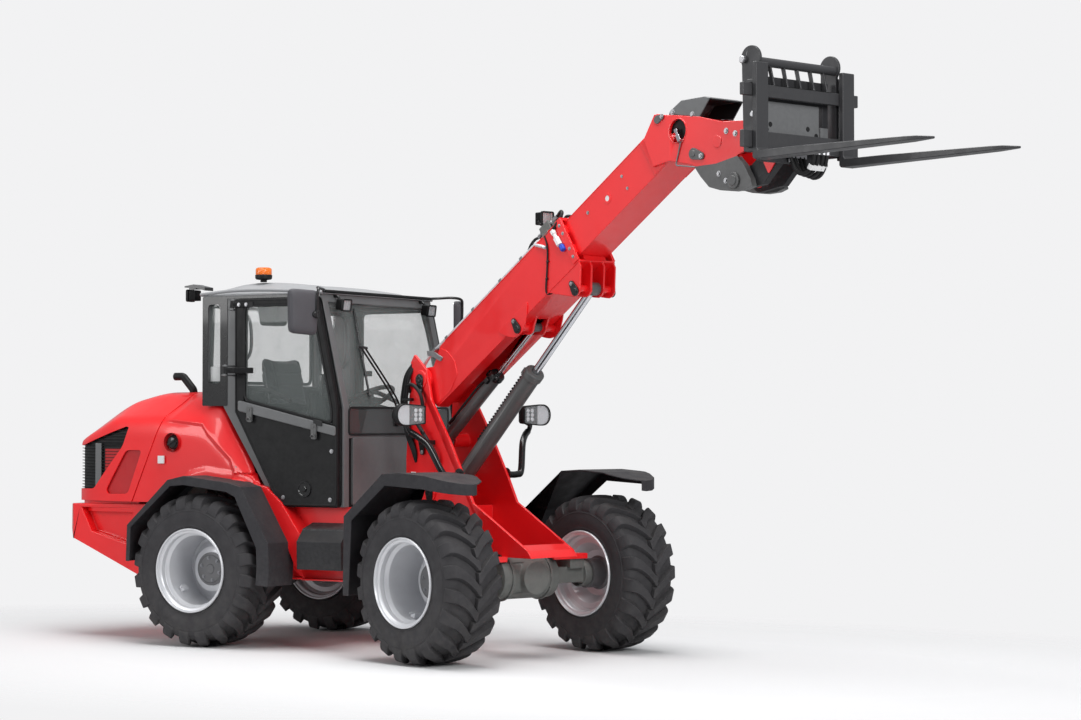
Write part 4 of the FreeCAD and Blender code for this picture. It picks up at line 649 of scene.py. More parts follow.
def rim(name, place, guard_at):
    """Turned rim and dish, hub with its studs, and the plate that guards the valve."""
    body = name.replace("rim", "wheel")
    inner = np.array(FLANGE)
    outer = np.array([(0.2385, -0.128), (0.2385, 0.128), (0.2545, 0.155)])
    profile = np.concatenate([inner, inner[::-1] * (1, -1), [(0.2545, -0.155)], outer])
    piece(name + "_ring", [lathe(profile, 144)], "silver", body, place, stands_for=name, angle=24)
    piece(name + "_dish", [lathe(DISC, 144)], "silver", body, place, angle=24)
    piece(name + "_hub", [lathe(HUB, 96)], "hub", body, place, angle=24)
    studs_at = disc_outline(0.076, 6, start=0.3)
    studs = [shell for x, z in studs_at for shell in hex_bolt((x, -0.019, z), (0, 1, 0), 0.0095)]
    piece(name + "_bolts", studs, "bolt", body, place, bevel=0.0012)
    plate = placed(block((0.196, 0.228), (0.030, 0.078), (-0.020, 0.020)), turn("y", -guard_at))
    stem = placed(pipe([(0.200, 0.078, 0), (0.196, 0.104, 0)], 0.005, 10, False), turn("y", -guard_at))
    piece(name + "_valve", [plate, stem], "silver", body, place, bevel=0.003)


for end, frame_at, axle_x in (("rear", REAR, -1.020), ("front", FRONT, 1.251)):
    for hand, side in (("left", 1), ("right", -1)):
        hub_place = frame_at @ shift(axle_x, side * HALF_TRACK, TYRE_RADIUS)
        hub_place = hub_place if side > 0 else hub_place @ turn("z", math.pi)
        tyre(f"{end}_{hand}_tyre", hub_place, side)
        rim(f"{end}_{hand}_rim", hub_place, math.radians({"rear": -38, "front": -75}[end]))
print("wheels at",
      [joint_at(n + "_spin").round(3).tolist() for n in ("rear_right_wheel", "front_right_wheel")])

# %% [markdown]
# ## Engine cover and side panels
#
# The cover is lofted through stations along x. Each station gives a half section of four corners
# (crown middle, crown edge, shoulder, foot); a running mean along the section rounds them. A place
# on the skin is (x, q), with q going from 0 on the crown's middle to 1 at the foot.

# %%
FOOT_Z = 0.945
STATIONS = np.array([  # x, half width at the shoulder, its height, half width of the crown, its height
    (-2.345, 0.470, 1.345, 0.380, 1.352), (-2.290, 0.540, 1.362, 0.400, 1.400),
    (-2.150, 0.600, 1.405, 0.405, 1.504), (-1.860, 0.650, 1.500, 0.405, 1.650),
    (-1.570, 0.675, 1.500, 0.430, 1.695), (-1.366, 0.685, 1.478, 0.480, 1.695),
    (-1.140, 0.690, 1.440, 0.580, 1.665), (-1.000, 0.690, 1.330, 0.610, 1.632),
    (-0.880, 0.690, 1.210, 0.625, 1.440), (-0.640, 0.690, 1.085, 0.630, 1.092)])
SEAM = np.array([(-1.746, 0.945), (-1.495, 1.464), (-1.465, 1.539), (-1.366, 1.655), (-1.340, 1.700)])
ARCH = np.array([(-1.555, 0.800), (-1.213, 1.106), (-1.079, 1.134), (-0.714, 1.094), (-0.606, 1.066)])
PANEL_FRONT = np.array([(-1.000, 1.632), (-0.640, 1.085)])
COWL_HALF, TUB_HALF, LID_FRONT, COWL_FRONT = 0.440, 0.590, -1.232, -1.136
SHEET, GAP = 0.010, 0.005


def gentle(x, xs, ys):
    """Smooth curve through the stations that never overshoots them (limited cubic)."""
    step = np.diff(ys) / np.diff(xs)
    slope = np.zeros_like(ys)
    same = step[:-1] * step[1:] > 0
    slope[1:-1][same] = (2 * step[:-1] * step[1:] / np.where(same, step[:-1] + step[1:], 1))[same]
    slope[0], slope[-1] = step[0], step[-1]
    k = np.clip(np.searchsorted(xs, x) - 1, 0, len(xs) - 2)
    width = xs[k + 1] - xs[k]
    t = np.clip((x - xs[k]) / width, 0, 1)
    return (ys[k] * (1 + 2 * t) * (1 - t) ** 2 + ys[k + 1] * t * t * (3 - 2 * t)
            + width * (slope[k] * t * (1 - t) ** 2 - slope[k + 1] * t * t * (1 - t)))


def section(x, q):
    """(y, z) of the skin's right half turned to y > 0, at x and q, by a running mean of the corners."""
    x, q = np.broadcast_arrays(np.asarray(x, float), np.asarray(q, float))
    side, shoulder, crown, top = (gentle(x, STATIONS[:, 0], STATIONS[:, k]) for k in (1, 2, 3, 4))
    knots = np.array([0.0, 0.38, 0.66, 1.0])
    ys = np.stack([0 * side, crown, side, side], axis=-1)
    zs = np.stack([top + 0.010, top, shoulder, 0 * side + FOOT_Z], axis=-1)
    y, z, reach = 0, 0, 0.055
    taps = np.linspace(-1, 1, 9)
    for tap in taps:
        at = q + tap * reach * np.clip((1 - q) / 0.12, 0, 1)
        k = np.clip(np.searchsorted(knots, np.abs(at)) - 1, 0, 2)
        t = (np.abs(at) - knots[k]) / (knots[k + 1] - knots[k])
        pick = lambda v, j: np.take_along_axis(v, j[..., None], axis=-1)[..., 0]
        y = y + np.sign(at) * (pick(ys, k) * (1 - t) + pick(ys, k + 1) * t)
        z = z + pick(zs, k) * (1 - t) + pick(zs, k + 1) * t
    return y / len(taps), z / len(taps)


def q_at(x, value, part):
    """The q where the section at x has the given y (part 0) or z (part 1)."""
    q = np.linspace(0, 1, 241)
    found = []
    for one, want in zip(np.atleast_1d(x), np.broadcast_to(value, np.shape(np.atleast_1d(x)))):
        line = section(one, q)[part]
        found.append(np.interp(want, line, q) if part == 0 else np.interp(-want, -line, q))
    return np.array(found)


def side_at(x, z):
    """Half width of the skin at (x, z)."""
    return section(x, q_at(x, z, 1))[0]


def near_line(x, z, line):
    """Distance of points from a polyline in the side view."""
    best = np.full(np.shape(x), 9.0)
    for (ax, az), (bx, bz) in zip(line[:-1], line[1:]):
        t = np.clip(((x - ax) * (bx - ax) + (z - az) * (bz - az)) / ((bx - ax) ** 2 + (bz - az) ** 2), 0, 1)
        best = np.minimum(best, np.hypot(x - ax - t * (bx - ax), z - az - t * (bz - az)))
    return best


def step_up(value, low, high):
    """Smooth rise from 0 at low to 1 at high, as 3t^2 - 2t^3."""
    t = np.clip((value - low) / (high - low), 0, 1)
    return t * t * (3 - 2 * t)


def frozen(obj):
    """Applies the object's modifiers to its mesh."""
    done = bpy.data.meshes.new_from_object(obj.evaluated_get(bpy.context.evaluated_depsgraph_get()))
    obj.modifiers.clear()
    obj.data = done
    return obj


def sheeted(obj, thickness=SHEET, offset=-1):
    """Gives an open surface its thickness."""
    mod = obj.modifiers.new("Sheet", "SOLIDIFY")
    mod.thickness, mod.offset, mod.use_even_offset = thickness, offset, True
    return obj


def cut_by(obj, shells, place=REAR):
    """Takes closed shells away from the object."""
    cutter = bpy.data.objects.new("cutter", mesh_of("cutter", shells, place))
    bpy.context.scene.collection.objects.link(cutter)
    mod = obj.modifiers.new("Opening", "BOOLEAN")
    mod.operation, mod.solver, mod.object = "DIFFERENCE", "EXACT", cutter
    frozen(obj)
    bpy.data.objects.remove(cutter)
    obj.data.shade_smooth()
    obj.data.set_sharp_from_angle(angle=math.radians(32))
    return obj


print("cover stations", FOOT_Z)

# %% [markdown]
# The tilting cover: columns run from the middle of its flat tail out to the rear corner, and on
# along x to the seam, where every row ends.

# %%


def seam_x(z):
    """Where the lid meets the fixed panel at a height."""
    return np.interp(z, SEAM[:, 1], SEAM[:, 0])


def cover_grid():
    """Rows over q from one foot to the other, columns from the tail's middle to the seam."""
    half = np.unique(np.concatenate([np.linspace(0, 1, 61), q_at(-1.30, COWL_HALF, 0) + [-1e-4, 1e-4]]))
    q = np.concatenate([-half[:0:-1], half])[:, None]
    end = np.full(q.shape, LID_FRONT)
    for _ in range(12):
        y, z = section(end, np.abs(q))
        end = np.where(np.abs(y) < COWL_HALF, LID_FRONT, seam_x(z))
        end = np.where(np.abs(q) > half[np.searchsorted(half, q_at(-1.30, COWL_HALF, 0)[0])], seam_x(z),
                       LID_FRONT)
    s = np.linspace(0, 1, 80)[None, :] ** 1.15
    x = STATIONS[0, 0] + (end - STATIONS[0, 0]) * s
    y, z = section(x, np.abs(q) + 0 * x)
    body = np.stack([x, np.sign(q) * y, z], axis=-1)
    inward = np.sin(np.linspace(0, 1, 9)[:-1] * math.pi / 2)[None, :, None]
    tail = np.repeat(body[:, :1], inward.shape[1], axis=1)
    tail = tail * (1, 0, 1) + tail * (0, 1, 0) * inward - np.array([0.012, 0, 0]) * np.sqrt(1 - inward ** 2)
    return np.concatenate([tail, body], axis=1)


GRILLE = [(-2.50, 1.325), (-2.25, 1.330), (-1.80, 1.462), (-1.775, 1.455), (-1.832, 1.325), (-2.118, 1.037),
          (-2.14, 1.028), (-2.50, 1.022)]
VENT = [(-1.994, 1.026), (-1.80, 1.298), (-1.651, 1.299), (-1.781, 0.998), (-1.976, 0.995)]

cover = piece("engine_cover", [skin(cover_grid())], "red", "hood", angle=32, stands_for="hood")
sheeted(cover)
grille_room = prism(rounded_outline(GRILLE, 0.03), -0.9, 0.9)
vent_rooms = [prism(rounded_outline(VENT, 0.03), *sorted((s * 0.4, s * 0.9))) for s in (-1, 1)]
cut_by(cover, [grille_room])
cut_by(cover, vent_rooms)


def level_path(z, front, inset):
    """Line at height z round the tail, from one side to the other, inset from the skin."""
    x = np.linspace(front, STATIONS[0, 0] + inset, 40)
    y = side_at(x, z) - inset
    one = np.stack([x, -y, 0 * x + z], axis=-1)
    return np.concatenate([one, one[::-1] * (1, -1, 1)])


bars = []
for z in np.arange(1.035, 1.46, 0.021):
    front = np.interp(z, [1.02, 1.037, 1.325, 1.455, 1.47], [-2.12, -2.10, -1.815, -1.765, -1.76])
    path = level_path(z, front, 0.020)
    if z > 1.335:
        reach = np.interp(z, [1.335, 1.47], [-2.24, -1.80])
        path = path[:40][path[:40, 0] > reach - 0.02]
        if len(path) < 3:
            continue
        bars += mirrored([swept(path, [(-0.007, -0.004), (0.007, -0.001), (0.007, 0.002), (-0.007, -0.001)])])
    else:
        bars.append(swept(path, [(-0.007, -0.004), (0.007, -0.001), (0.007, 0.002), (-0.007, -0.001)]))
rows = np.linspace(1.008, 1.334, 20)
screen = np.stack([level_path(z, -1.79, 0.034) for z in rows])
upper_x = np.linspace(-2.26, -1.745, 30)[None, :]
upper_z = np.linspace(1.32, 1.0, 8)[:, None] * 0 + np.linspace(0, 1, 8)[:, None]
upper_z = 1.325 + upper_z * (np.interp(upper_x, [-2.26, -1.745], [0.012, 0.155]))
upper_y = np.stack([side_at(row_x, row_z) for row_x,
                    row_z in zip(np.broadcast_to(upper_x, upper_z.shape), upper_z)])
upper = np.stack([np.broadcast_to(upper_x, upper_z.shape), -(upper_y - 0.034), upper_z], axis=-1)
screens = piece("grille_screen", [skin(screen)] + mirrored([skin(upper)]), "mesh", "hood",
                stands_for="hood_grilles")
sheeted(screens, 0.003)
piece("grille_bars", bars, "black", "hood", angle=40)
post_z = np.linspace(1.015, 1.345, 12)
post = np.stack([0 * post_z - 2.085, -(side_at(0 * post_z - 2.085, post_z) - 0.012), post_z], axis=-1)
piece("grille_posts",
      mirrored([swept(post, [(-0.026, -0.006), (0.026, -0.006), (0.026, 0.006), (-0.026, 0.006)])]),
      "grey", "hood", bevel=0.003)

# The side vent screens take the darker red that paints the shade of the recessed vents.
x = np.linspace(-2.02, -1.63, 40)[:, None] + np.zeros((1, 30))
z = np.linspace(0.985, 1.31, 30)[None, :] + np.zeros((40, 1))
y = np.stack([side_at(a, b) for a, b in zip(x, z)])
vent = skin(np.stack([x, -(y - 0.016), z], axis=-1))
sheeted(piece("vent_screens", mirrored([vent]), "red_painted_shade", "hood"), 0.003)
print("cover", len(cover.data.polygons), "faces;", len(bars), "grille bars")

# %% [markdown]
# The fixed side panel fills a patch with four edges (seam, arch, front edge, crown line) by the
# blend of its edges that Coons gave: opposite edges mixed, less the mix of the corners. Its shape
# is pressed: proud above the shoulder crease and in a flange along the arch.

# %%
CREASE = np.array([(-1.62, 1.500), (-1.387, 1.497), (-1.126, 1.470), (-1.074, 1.405), (-0.885, 1.236),
                   (-0.845, 1.150), (-0.845, 1.00)])


def resampled(line, count):
    """Polyline with evenly spread points."""
    line = np.asarray(line, float)
    run = np.concatenate([[0], np.cumsum(np.linalg.norm(np.diff(line, axis=0), axis=1))])
    at = np.linspace(0, run[-1], count)
    return np.stack([np.interp(at, run, line[:, k]) for k in (0, 1)], axis=-1)


def crown_limit(x):
    """How far the panel reaches up over the crown at x, as a half width."""
    return np.interp(x, [LID_FRONT + GAP, COWL_FRONT], [COWL_HALF + GAP, TUB_HALF])


def panel_grid(across=110, up=90):
    """Fixed side panel: a patch filled between four edges, each point pushed in by its own height."""
    low = resampled([(SEAM[0, 0] + GAP, FOOT_Z), (-1.393, FOOT_Z), ARCH[1], ARCH[2], ARCH[3], (-0.66, 1.0806),
                     (-0.640, 1.0750)], across)
    low_q = q_at(low[:, 0], low[:, 1], 1)
    low_q[low[:, 1] <= FOOT_Z + 1e-4] = 1.0
    top_x = np.linspace(-1.361, -1.000, across)
    top_q = q_at(top_x, crown_limit(top_x), 0)
    z = np.linspace(FOOT_Z, 1.655, up)
    left_x = seam_x(z) + GAP
    left_q = q_at(left_x, z, 1)
    left_x, left_q = left_x + (top_x[0] - left_x[-1]) * np.linspace(0, 1, up) ** 8, left_q
    left_q = left_q + (top_q[0] - left_q[-1]) * np.linspace(0, 1, up) ** 4
    left_q[0] = 1.0
    z = np.linspace(1.075, 1.632, up)
    right_x = np.interp(z, PANEL_FRONT[::-1, 1], PANEL_FRONT[::-1, 0])
    right_q = q_at(right_x, 0.600, 0)
    right_q = right_q + (low_q[-1] - right_q[0]) * (1 - np.linspace(0, 1, up)) ** 6
    right_q = right_q + (top_q[-1] - right_q[-1]) * np.linspace(0, 1, up) ** 6
    s, t = np.linspace(0, 1, across)[:, None, None], np.linspace(0, 1, up)[None, :, None]
    bottom, top = np.stack([low[:, 0], low_q], -1)[:, None], np.stack([top_x, top_q], -1)[:, None]
    left, right = np.stack([left_x, left_q], -1)[None], np.stack([right_x, right_q], -1)[None]
    corner = ((1 - s) * (1 - t) * bottom[:1] + s * (1 - t) * bottom[-1:]
              + (1 - s) * t * top[:1] + s * t * top[-1:])
    place = (1 - t) * bottom + t * top + (1 - s) * left + s * right - corner
    x, q = place[..., 0], np.clip(place[..., 1], 0, 1)
    y, z = section(x, q)
    above = np.interp(x, CREASE[:-1, 0], CREASE[:-1, 1]) < z
    proud = near_line(x, z, CREASE)
    rise = np.where(above, step_up(proud, -0.012, 0.014), 1 - step_up(proud, -0.014, 0.012))
    flange = 1 - step_up(near_line(x, z, ARCH[:-1]), 0.034, 0.052)
    front_lip = 1 - step_up(near_line(x, z, PANEL_FRONT), 0.010, 0.030)
    fade = step_up(x - seam_x(z), 0.02, 0.10)
    y = y + 0.016 * rise * fade * step_up(q, 0.30, 0.5) + 0.009 * flange - 0.006 * front_lip - 0.006
    return np.stack([x, -y, z], axis=-1)


def cowl_grid():
    """Fixed cowl between the lid and the cab, on the same crown as the lid."""
    x = np.linspace(LID_FRONT + GAP, COWL_FRONT, 6)[:, None]
    y = crown_limit(x) * np.linspace(-1, 1, 41)[None, :]
    z = np.stack([section(one, q_at(np.full(41, one), np.abs(row), 0))[1] for one, row in zip(x[:, 0], y)])
    return np.stack([np.broadcast_to(x, y.shape), y, z], axis=-1)


panels = piece("side_skins", mirrored([skin(panel_grid())]) + [skin(cowl_grid())], "red", "rear_frame",
               stands_for="side_panels", angle=32)
sheeted(panels, 0.008)
cap_at = (-1.372, 1.354)
recess = prism(disc_outline(0.060, 40, cap_at), -0.9, -0.5)
cut_by(panels, [recess])
piece("panel_bolts", mirrored(hex_bolt((-0.831, -0.687, 1.187), (0, -1, 0), 0.010)), "bolt", "rear_frame",
      bevel=0.001)
print("panels", len(panels.data.polygons), "faces")

# %% [markdown]
# ## Cab outside
#
# The roof is a crowned sheet: over its length it follows a smooth line, and across it falls as the
# fourth power of y. Window gaskets are closed rings between an outline and its inset copy.

# %%


def inset(outline, distance):
    """Outline moved inward square to its sides."""
    p = np.asarray(outline, float)
    if np.sum(p[:, 0] * np.roll(p[:, 1], -1) - np.roll(p[:, 0], -1) * p[:, 1]) < 0:
        return inset(p[::-1], distance)[::-1]
    way = np.roll(p, -1, 0) - p
    normal = np.stack([-way[:, 1], way[:, 0]], -1) / np.linalg.norm(way, axis=1)[:, None]
    before = np.roll(normal, 1, 0)
    corner = (normal + before) / (1 + np.sum(normal * before, axis=1))[:, None]
    return p + corner * distance


def ring(outline, width, low, high, plane="xz"):
    """Flat closed band of the given width inside an outline."""
    inner = inset(outline, width)
    order = {"xz": (0, 2, 1), "xy": (0, 1, 2), "yz": (1, 2, 0)}[plane]
    rings = np.zeros((4, len(inner), 3))
    for k, (line, level) in enumerate(((outline, low), (outline, high), (inner, high), (inner, low))):
        line = np.asarray(line, float)
        rings[k][:, order[0]], rings[k][:, order[1]], rings[k][:, order[2]] = line[:, 0], line[:, 1], level
    return skin(rings, wrap_rows=True, wrap_columns=True)


def screen_x(z):
    """Outer face of the windscreen's frame at a height."""
    return 0.022 - max(0.0, z - 1.590) * (0.183 / 0.750)


def roof_grid():
    """Cab roof: a gentle crown that falls towards both sides and the front."""
    x = np.linspace(-1.150, -0.146, 50)[:, None]
    y = 0.668 * np.sin(np.linspace(-1, 1, 45) * math.pi / 2)[None, :]
    top = gentle(x, np.array([-1.150, -1.118, -0.860, -0.500, -0.146]),
                 np.array([2.372, 2.402, 2.440, 2.414, 2.362]))
    ends = 1 - 0.5 * step_up(np.abs(x + 0.648), 0.470, 0.502) ** 2
    z = 2.340 + (top - 2.340) * (1 - np.abs(y / 0.668) ** 4) * ends
    rib = 0.006 * (step_up(0.42 - np.abs(y), 0, 0.02) - step_up(0.28 - np.abs(y), 0, 0.02))
    z = z + rib * step_up(0.44 - np.abs(x + 0.65), 0, 0.05)
    over = np.stack([x + 0 * y, y + 0 * x, z], axis=-1)
    under = over * (1, 1, 0) + (0, 0, 2.338)
    return over, under


over, under = roof_grid()
roof = [skin(over), skin(under), skin(np.stack([over[0], under[0]])), skin(np.stack([over[-1], under[-1]])),
        skin(np.stack([over[:, 0], under[:, 0]])), skin(np.stack([over[:, -1], under[:, -1]]))]
piece("cab_roof", roof, "roof_grey", "rear_frame", stands_for="roof", angle=40)
drip = [(-1.150, 2.352), (-0.85, 2.372), (-0.50, 2.366), (-0.148, 2.344)]
rails = [pipe([(x, -0.664, z) for x, z in drip], 0.011)]
piece("drip_rails", mirrored(rails), "roof_grey", "rear_frame")
visor = [pipe([(-0.150, y, 2.352) for y in (-0.64, -0.2, 0.2, 0.64)], 0.012)]
piece("roof_front_edge", visor, "black", "rear_frame")

DOOR_WINDOW = [(-0.762, 1.635), (-0.042, 1.475), (-0.042, 1.575), (-0.200, 2.272), (-0.762, 2.272)]
SIDE_WINDOW = [(-1.088, 1.750), (-1.088, 2.283), (-0.985, 2.283), (-0.985, 1.750)]
DOOR_EDGE = [(-0.006, 0.946), (-0.006, 1.590), (-0.170, 2.308), (-0.831, 2.308), (-0.831, 1.561),
             (-0.469, 0.946)]
REAR_WINDOW = [(-0.596, 1.748), (0.596, 1.748), (0.596, 2.286), (-0.596, 2.286)]

for hand, s in (("right", -1), ("left", 1)):
    body = hand + "_door"
    out = lambda a, b: sorted((s * a, s * b))
    seal = [ring(rounded_outline(DOOR_WINDOW, 0.05), 0.014, *out(0.694, 0.7035))]
    seal.append(ring(rounded_outline(DOOR_EDGE, 0.03), 0.010, *out(0.698, 0.7045)))
    piece(hand + "_door_seals", seal, "rubber", body, bevel=0.002)
    rail = [(-0.800, 1.638), (-0.010, 1.462), (-0.010, 1.400), (-0.800, 1.566)]
    piece(hand + "_door_rail", [prism(rounded_outline(rail, 0.018), *out(0.6995, 0.716))], "grey", body,
          bevel=0.007)
    catches = []
    for x, z in ((-0.698, 1.552), (-0.176, 1.440)):
        tongue = [(x - 0.021, z + 0.044), (x + 0.021, z + 0.040), (x + 0.019, z - 0.062),
                  (x - 0.019, z - 0.058)]
        catches.append(prism(rounded_outline(tongue, 0.012), *out(0.712, 0.727)))
        catches += hex_bolt((x, s * 0.726, z + 0.022), (0, s, 0), 0.0085)
        catches += [pipe([(x - 0.016, s * 0.732, z - 0.044), (x, s * 0.740, z - 0.030),
                          (x + 0.016, s * 0.732, z - 0.044)], 0.0055)]
    piece(hand + "_door_catches", catches, "cylinder", body, bevel=0.002)
    studs = []
    for x, z in ((-0.049, 1.301), (-0.436, 0.996), (-0.060, 0.985)):
        studs += hex_bolt((x, s * 0.7, z), (0, s, 0), 0.010)
    for z in (1.835, 2.275):
        for x in (-0.795, -0.735):
            studs += hex_bolt((x, s * 0.712, z), (0, s, 0), 0.009)
    piece(hand + "_door_bolts", studs, "steel", body, bevel=0.001)
    lock = [boss([(0.0001, 0.004), (0.040, 0.004), (0.044, 0.009), (0.052, 0.009), (0.055, 0.0),
                  (0.0001, 0.0)], 48, (-0.263, s * 0.700, 1.052), "z", 0 if s > 0 else math.pi),
            boss([(0.0001, 0.012), (0.016, 0.012), (0.019, 0.008), (0.019, 0.0), (0.0001, 0.0)], 32,
                 (-0.263, s * 0.702, 1.052), "z", 0 if s > 0 else math.pi)]
    piece(hand + "_door_lock", lock, "gloss_black", body)
    press = prism(rounded_outline([(-0.180, 1.512), (-0.110, 1.497), (-0.110, 1.462), (-0.180, 1.476)],
                                  0.010),
                  *out(0.715, 0.722))
    piece(hand + "_door_press", [press], "gloss_black", body, bevel=0.002)
    console = pipe([(-0.72, s * 0.655, 1.69), (-0.60, s * 0.640, 1.70), (-0.42, s * 0.640, 1.63)], 0.016)
    piece(hand + "_door_pull", [console], "black", body)
    grab = pipe([(-0.861, s * 0.596, 2.237), (-0.812, s * 0.565, 2.170), (-0.808, s * 0.560, 1.970),
                 (-0.860, s * 0.596, 1.875)], 0.011)
    piece(hand + "_grab_rail", [grab], "plate", "rear_frame")
    sides = [ring(rounded_outline(inset(DOOR_EDGE, -0.014), 0.04), 0.012, *out(0.655, 0.662))]
    piece(hand + "_side_seals", sides, "rubber", "rear_frame", bevel=0.002)

    corner = [(-1.134, 1.600), (-1.134, 2.336), (-0.926, 2.336), (-0.926, 1.600)]
    window = rounded_outline(SIDE_WINDOW, 0.03)
    frit = np.stack([np.insert(rounded_outline(corner, 0.01), 1, level, axis=1)
                     for level in out(0.6595, 0.6640)[::s]]
                    + [np.insert(window, 1, level, axis=1) for level in out(0.6595, 0.6640)[::-s]])
    frit = skin(frit, wrap_rows=True, wrap_columns=True)
    header = prism([(-0.930, 2.336), (-0.165, 2.336), (-0.160, 2.318), (-0.930, 2.318)], *out(0.658, 0.668))
    piece(hand + "_black_border", [frit, header], "gloss_black", "rear_frame")

SCREEN_LOW = [(-0.600, 1.415), (0.600, 1.415), (0.600, 1.582), (-0.600, 1.582)]
piece("lower_screen", [prism(rounded_outline(SCREEN_LOW, 0.03), 0.0215, 0.0265, "yz")], "tinted",
      "rear_frame", bevel=0.002)
piece("lower_screen_seal",
      [ring(rounded_outline(inset(SCREEN_LOW, -0.012), 0.035), 0.015, 0.0215, 0.0285, "yz")],
      "rubber", "rear_frame", bevel=0.002)
apron = rounded_outline([(-0.560, 0.945), (0.560, 0.945), (0.560, 1.392), (-0.560, 1.392)], 0.02)
piece("front_apron", [prism(apron, 0.0, 0.0265, "yz")], "grey", "rear_frame", bevel=0.004)

piece("rear_window_seal", [ring(rounded_outline(REAR_WINDOW, 0.06), 0.022, -1.136, -1.122, "yz")], "rubber",
      "rear_frame", bevel=0.003)
label = [block((-1.085, -1.005), (-0.6385, -0.6365), (1.765, 1.865))]
piece("blank_label", label, "white", "rear_frame", bevel=0.0006)
tag = [block((-1.492, -1.440), (-0.6935, -0.684), (1.210, 1.262))]
piece("blank_tag", tag, "white", "rear_frame", bevel=0.0006)
print("cab shell, doors and seals:", len(bpy.data.meshes), "meshes so far")

# %% [markdown]
# Wipers, mirror faces, beacon, lamps and the fuel cap.

# %%


def on_screen(y, z, away):
    """Point off the leaning windscreen by a distance."""
    return (screen_x(z) + away, y, z)


arms = [pipe([on_screen(-0.02 + d, 1.500, 0.010), on_screen(-0.10 + d, 1.66, 0.022),
              on_screen(-0.33 + d, 1.99, 0.006)],
             0.0065) for d in (0.0, 0.045)]
arms.append(pipe([on_screen(-0.36, 1.995, 0.006), on_screen(-0.26, 1.985, 0.006)], 0.009, smooth=False))
arms.append(pipe([on_screen(-0.33, 1.66, -0.004), on_screen(-0.325, 1.98, -0.004),
                  on_screen(-0.31, 2.25, -0.004)], 0.008))
motor = block((-0.005, 0.048), (-0.06, 0.08), (1.462, 1.515))
piece("screen_wiper", arms + [motor], "gloss_black", "rear_frame", bevel=0.003, angle=40)

for s in (-1, 1):
    name = "right" if s < 0 else "left"
    out, turned = s * (1.000 if s < 0 else 0.880), turn("z", math.radians(28 * s))
    outline = rounded_outline([(-0.098, -0.136), (0.090, -0.150), (0.104, 0.140), (-0.104, 0.150)], 0.038, 7)
    outline = [(-s * a, b) for a, b in outline]
    spot = REAR @ shift(-0.060, out, 2.200) @ turned
    shell = stepped(outline, (0, 0), ((-0.030, 0.93), (-0.026, 0.99), (-0.016, 1.0), (0.004, 1.0),
                                      (0.012, 0.985), (0.020, 0.93), (0.025, 0.80), (0.027, 0.55),
                                      (0.0275, 0.2)))
    piece(name + "_mirror_shell", [shell], "grey_plastic", "rear_frame",
          spot, stands_for="mirrors" if s < 0 else (), angle=50)
    piece(name + "_mirror_face", [prism(inset(outline, 0.010), -0.0318, -0.0300, "yz")], "mirror",
          "rear_frame", spot)
    knuckle = (-0.020, out - s * 0.058, 2.185)
    arm = pipe([(-0.160, s * 0.640, 2.353), (-0.110, s * 0.700, 2.358), (-0.040, out - s * 0.130, 2.362),
                (0.005, out - s * 0.075, 2.350), (0.006, out - s * 0.060, 2.300),
                (0.002, out - s * 0.060, 2.160)],
               0.0095)
    hub = [placed(lathe([(0.0001, 0.034), (0.012, 0.034), (0.020, 0.026), (0.024, 0.0), (0.0001, 0.0)], 30),
                  shift(*knuckle) @ turned @ turn("z", -math.pi / 2))]
    hub.append(block((-0.008, 0.018), sorted((out - s * 0.072, out - s * 0.046)), (2.165, 2.210)))
    hub += hex_bolt((0.018, out - s * 0.059, 2.199), (1, 0, 0), 0.006)
    piece(name + "_mirror_arm", [arm] + hub, "gloss_black", "rear_frame", bevel=0.002, angle=40)

BEACON = (-0.820, -0.400, 2.440)
upright = shift(*BEACON) @ turn("x", math.pi / 2)
base = lathe([(0.0001, 0.0), (0.022, 0.0), (0.022, 0.014), (0.050, 0.018), (0.057, 0.026), (0.058, 0.046),
              (0.054, 0.050), (0.0001, 0.050)], 64)
dome = lathe([(0.053, 0.048), (0.055, 0.052), (0.0545, 0.086), (0.050, 0.094), (0.040, 0.099),
              (0.0001, 0.101), (0.0001, 0.048)], 64)
piece("beacon_base", [base], "black", "rear_frame", REAR @ upright, stands_for="beacon")
piece("beacon_lens", [dome], "amber", "rear_frame", REAR @ upright)


def work_lamp(name, at, facing, body, size=(0.104, 0.084), depth=0.05, place=REAR, look="black"):
    """Square work lamp: finned housing with a raised bezel, reflector cells and a clear pane."""
    w, h = size[0] / 2, size[1] / 2
    m = place @ shift(*at) @ facing
    outline = rounded_outline([(-w, -h), (w, -h), (w, h), (-w, h)], 0.016)
    fins = [prism(inset(outline, 0.006), -depth + 0.010 * k, -depth + 0.010 * k + 0.005, "yz")
            for k in range(5)]
    core = prism(inset(outline, 0.013), -depth - 0.004, 0.0, "yz")
    bezel = ring(outline, 0.010, -0.006, 0.010, "yz")
    piece(name + "_case", [core, bezel] + fins, look, body, m, bevel=0.0015, angle=40)
    piece(name + "_cells", [prism(inset(outline, 0.009), 0.0, 0.003, "yz")], "leds", body, m)
    piece(name + "_pane", [prism(inset(outline, 0.009), 0.0045, 0.0075, "yz")], "lens", body, m)


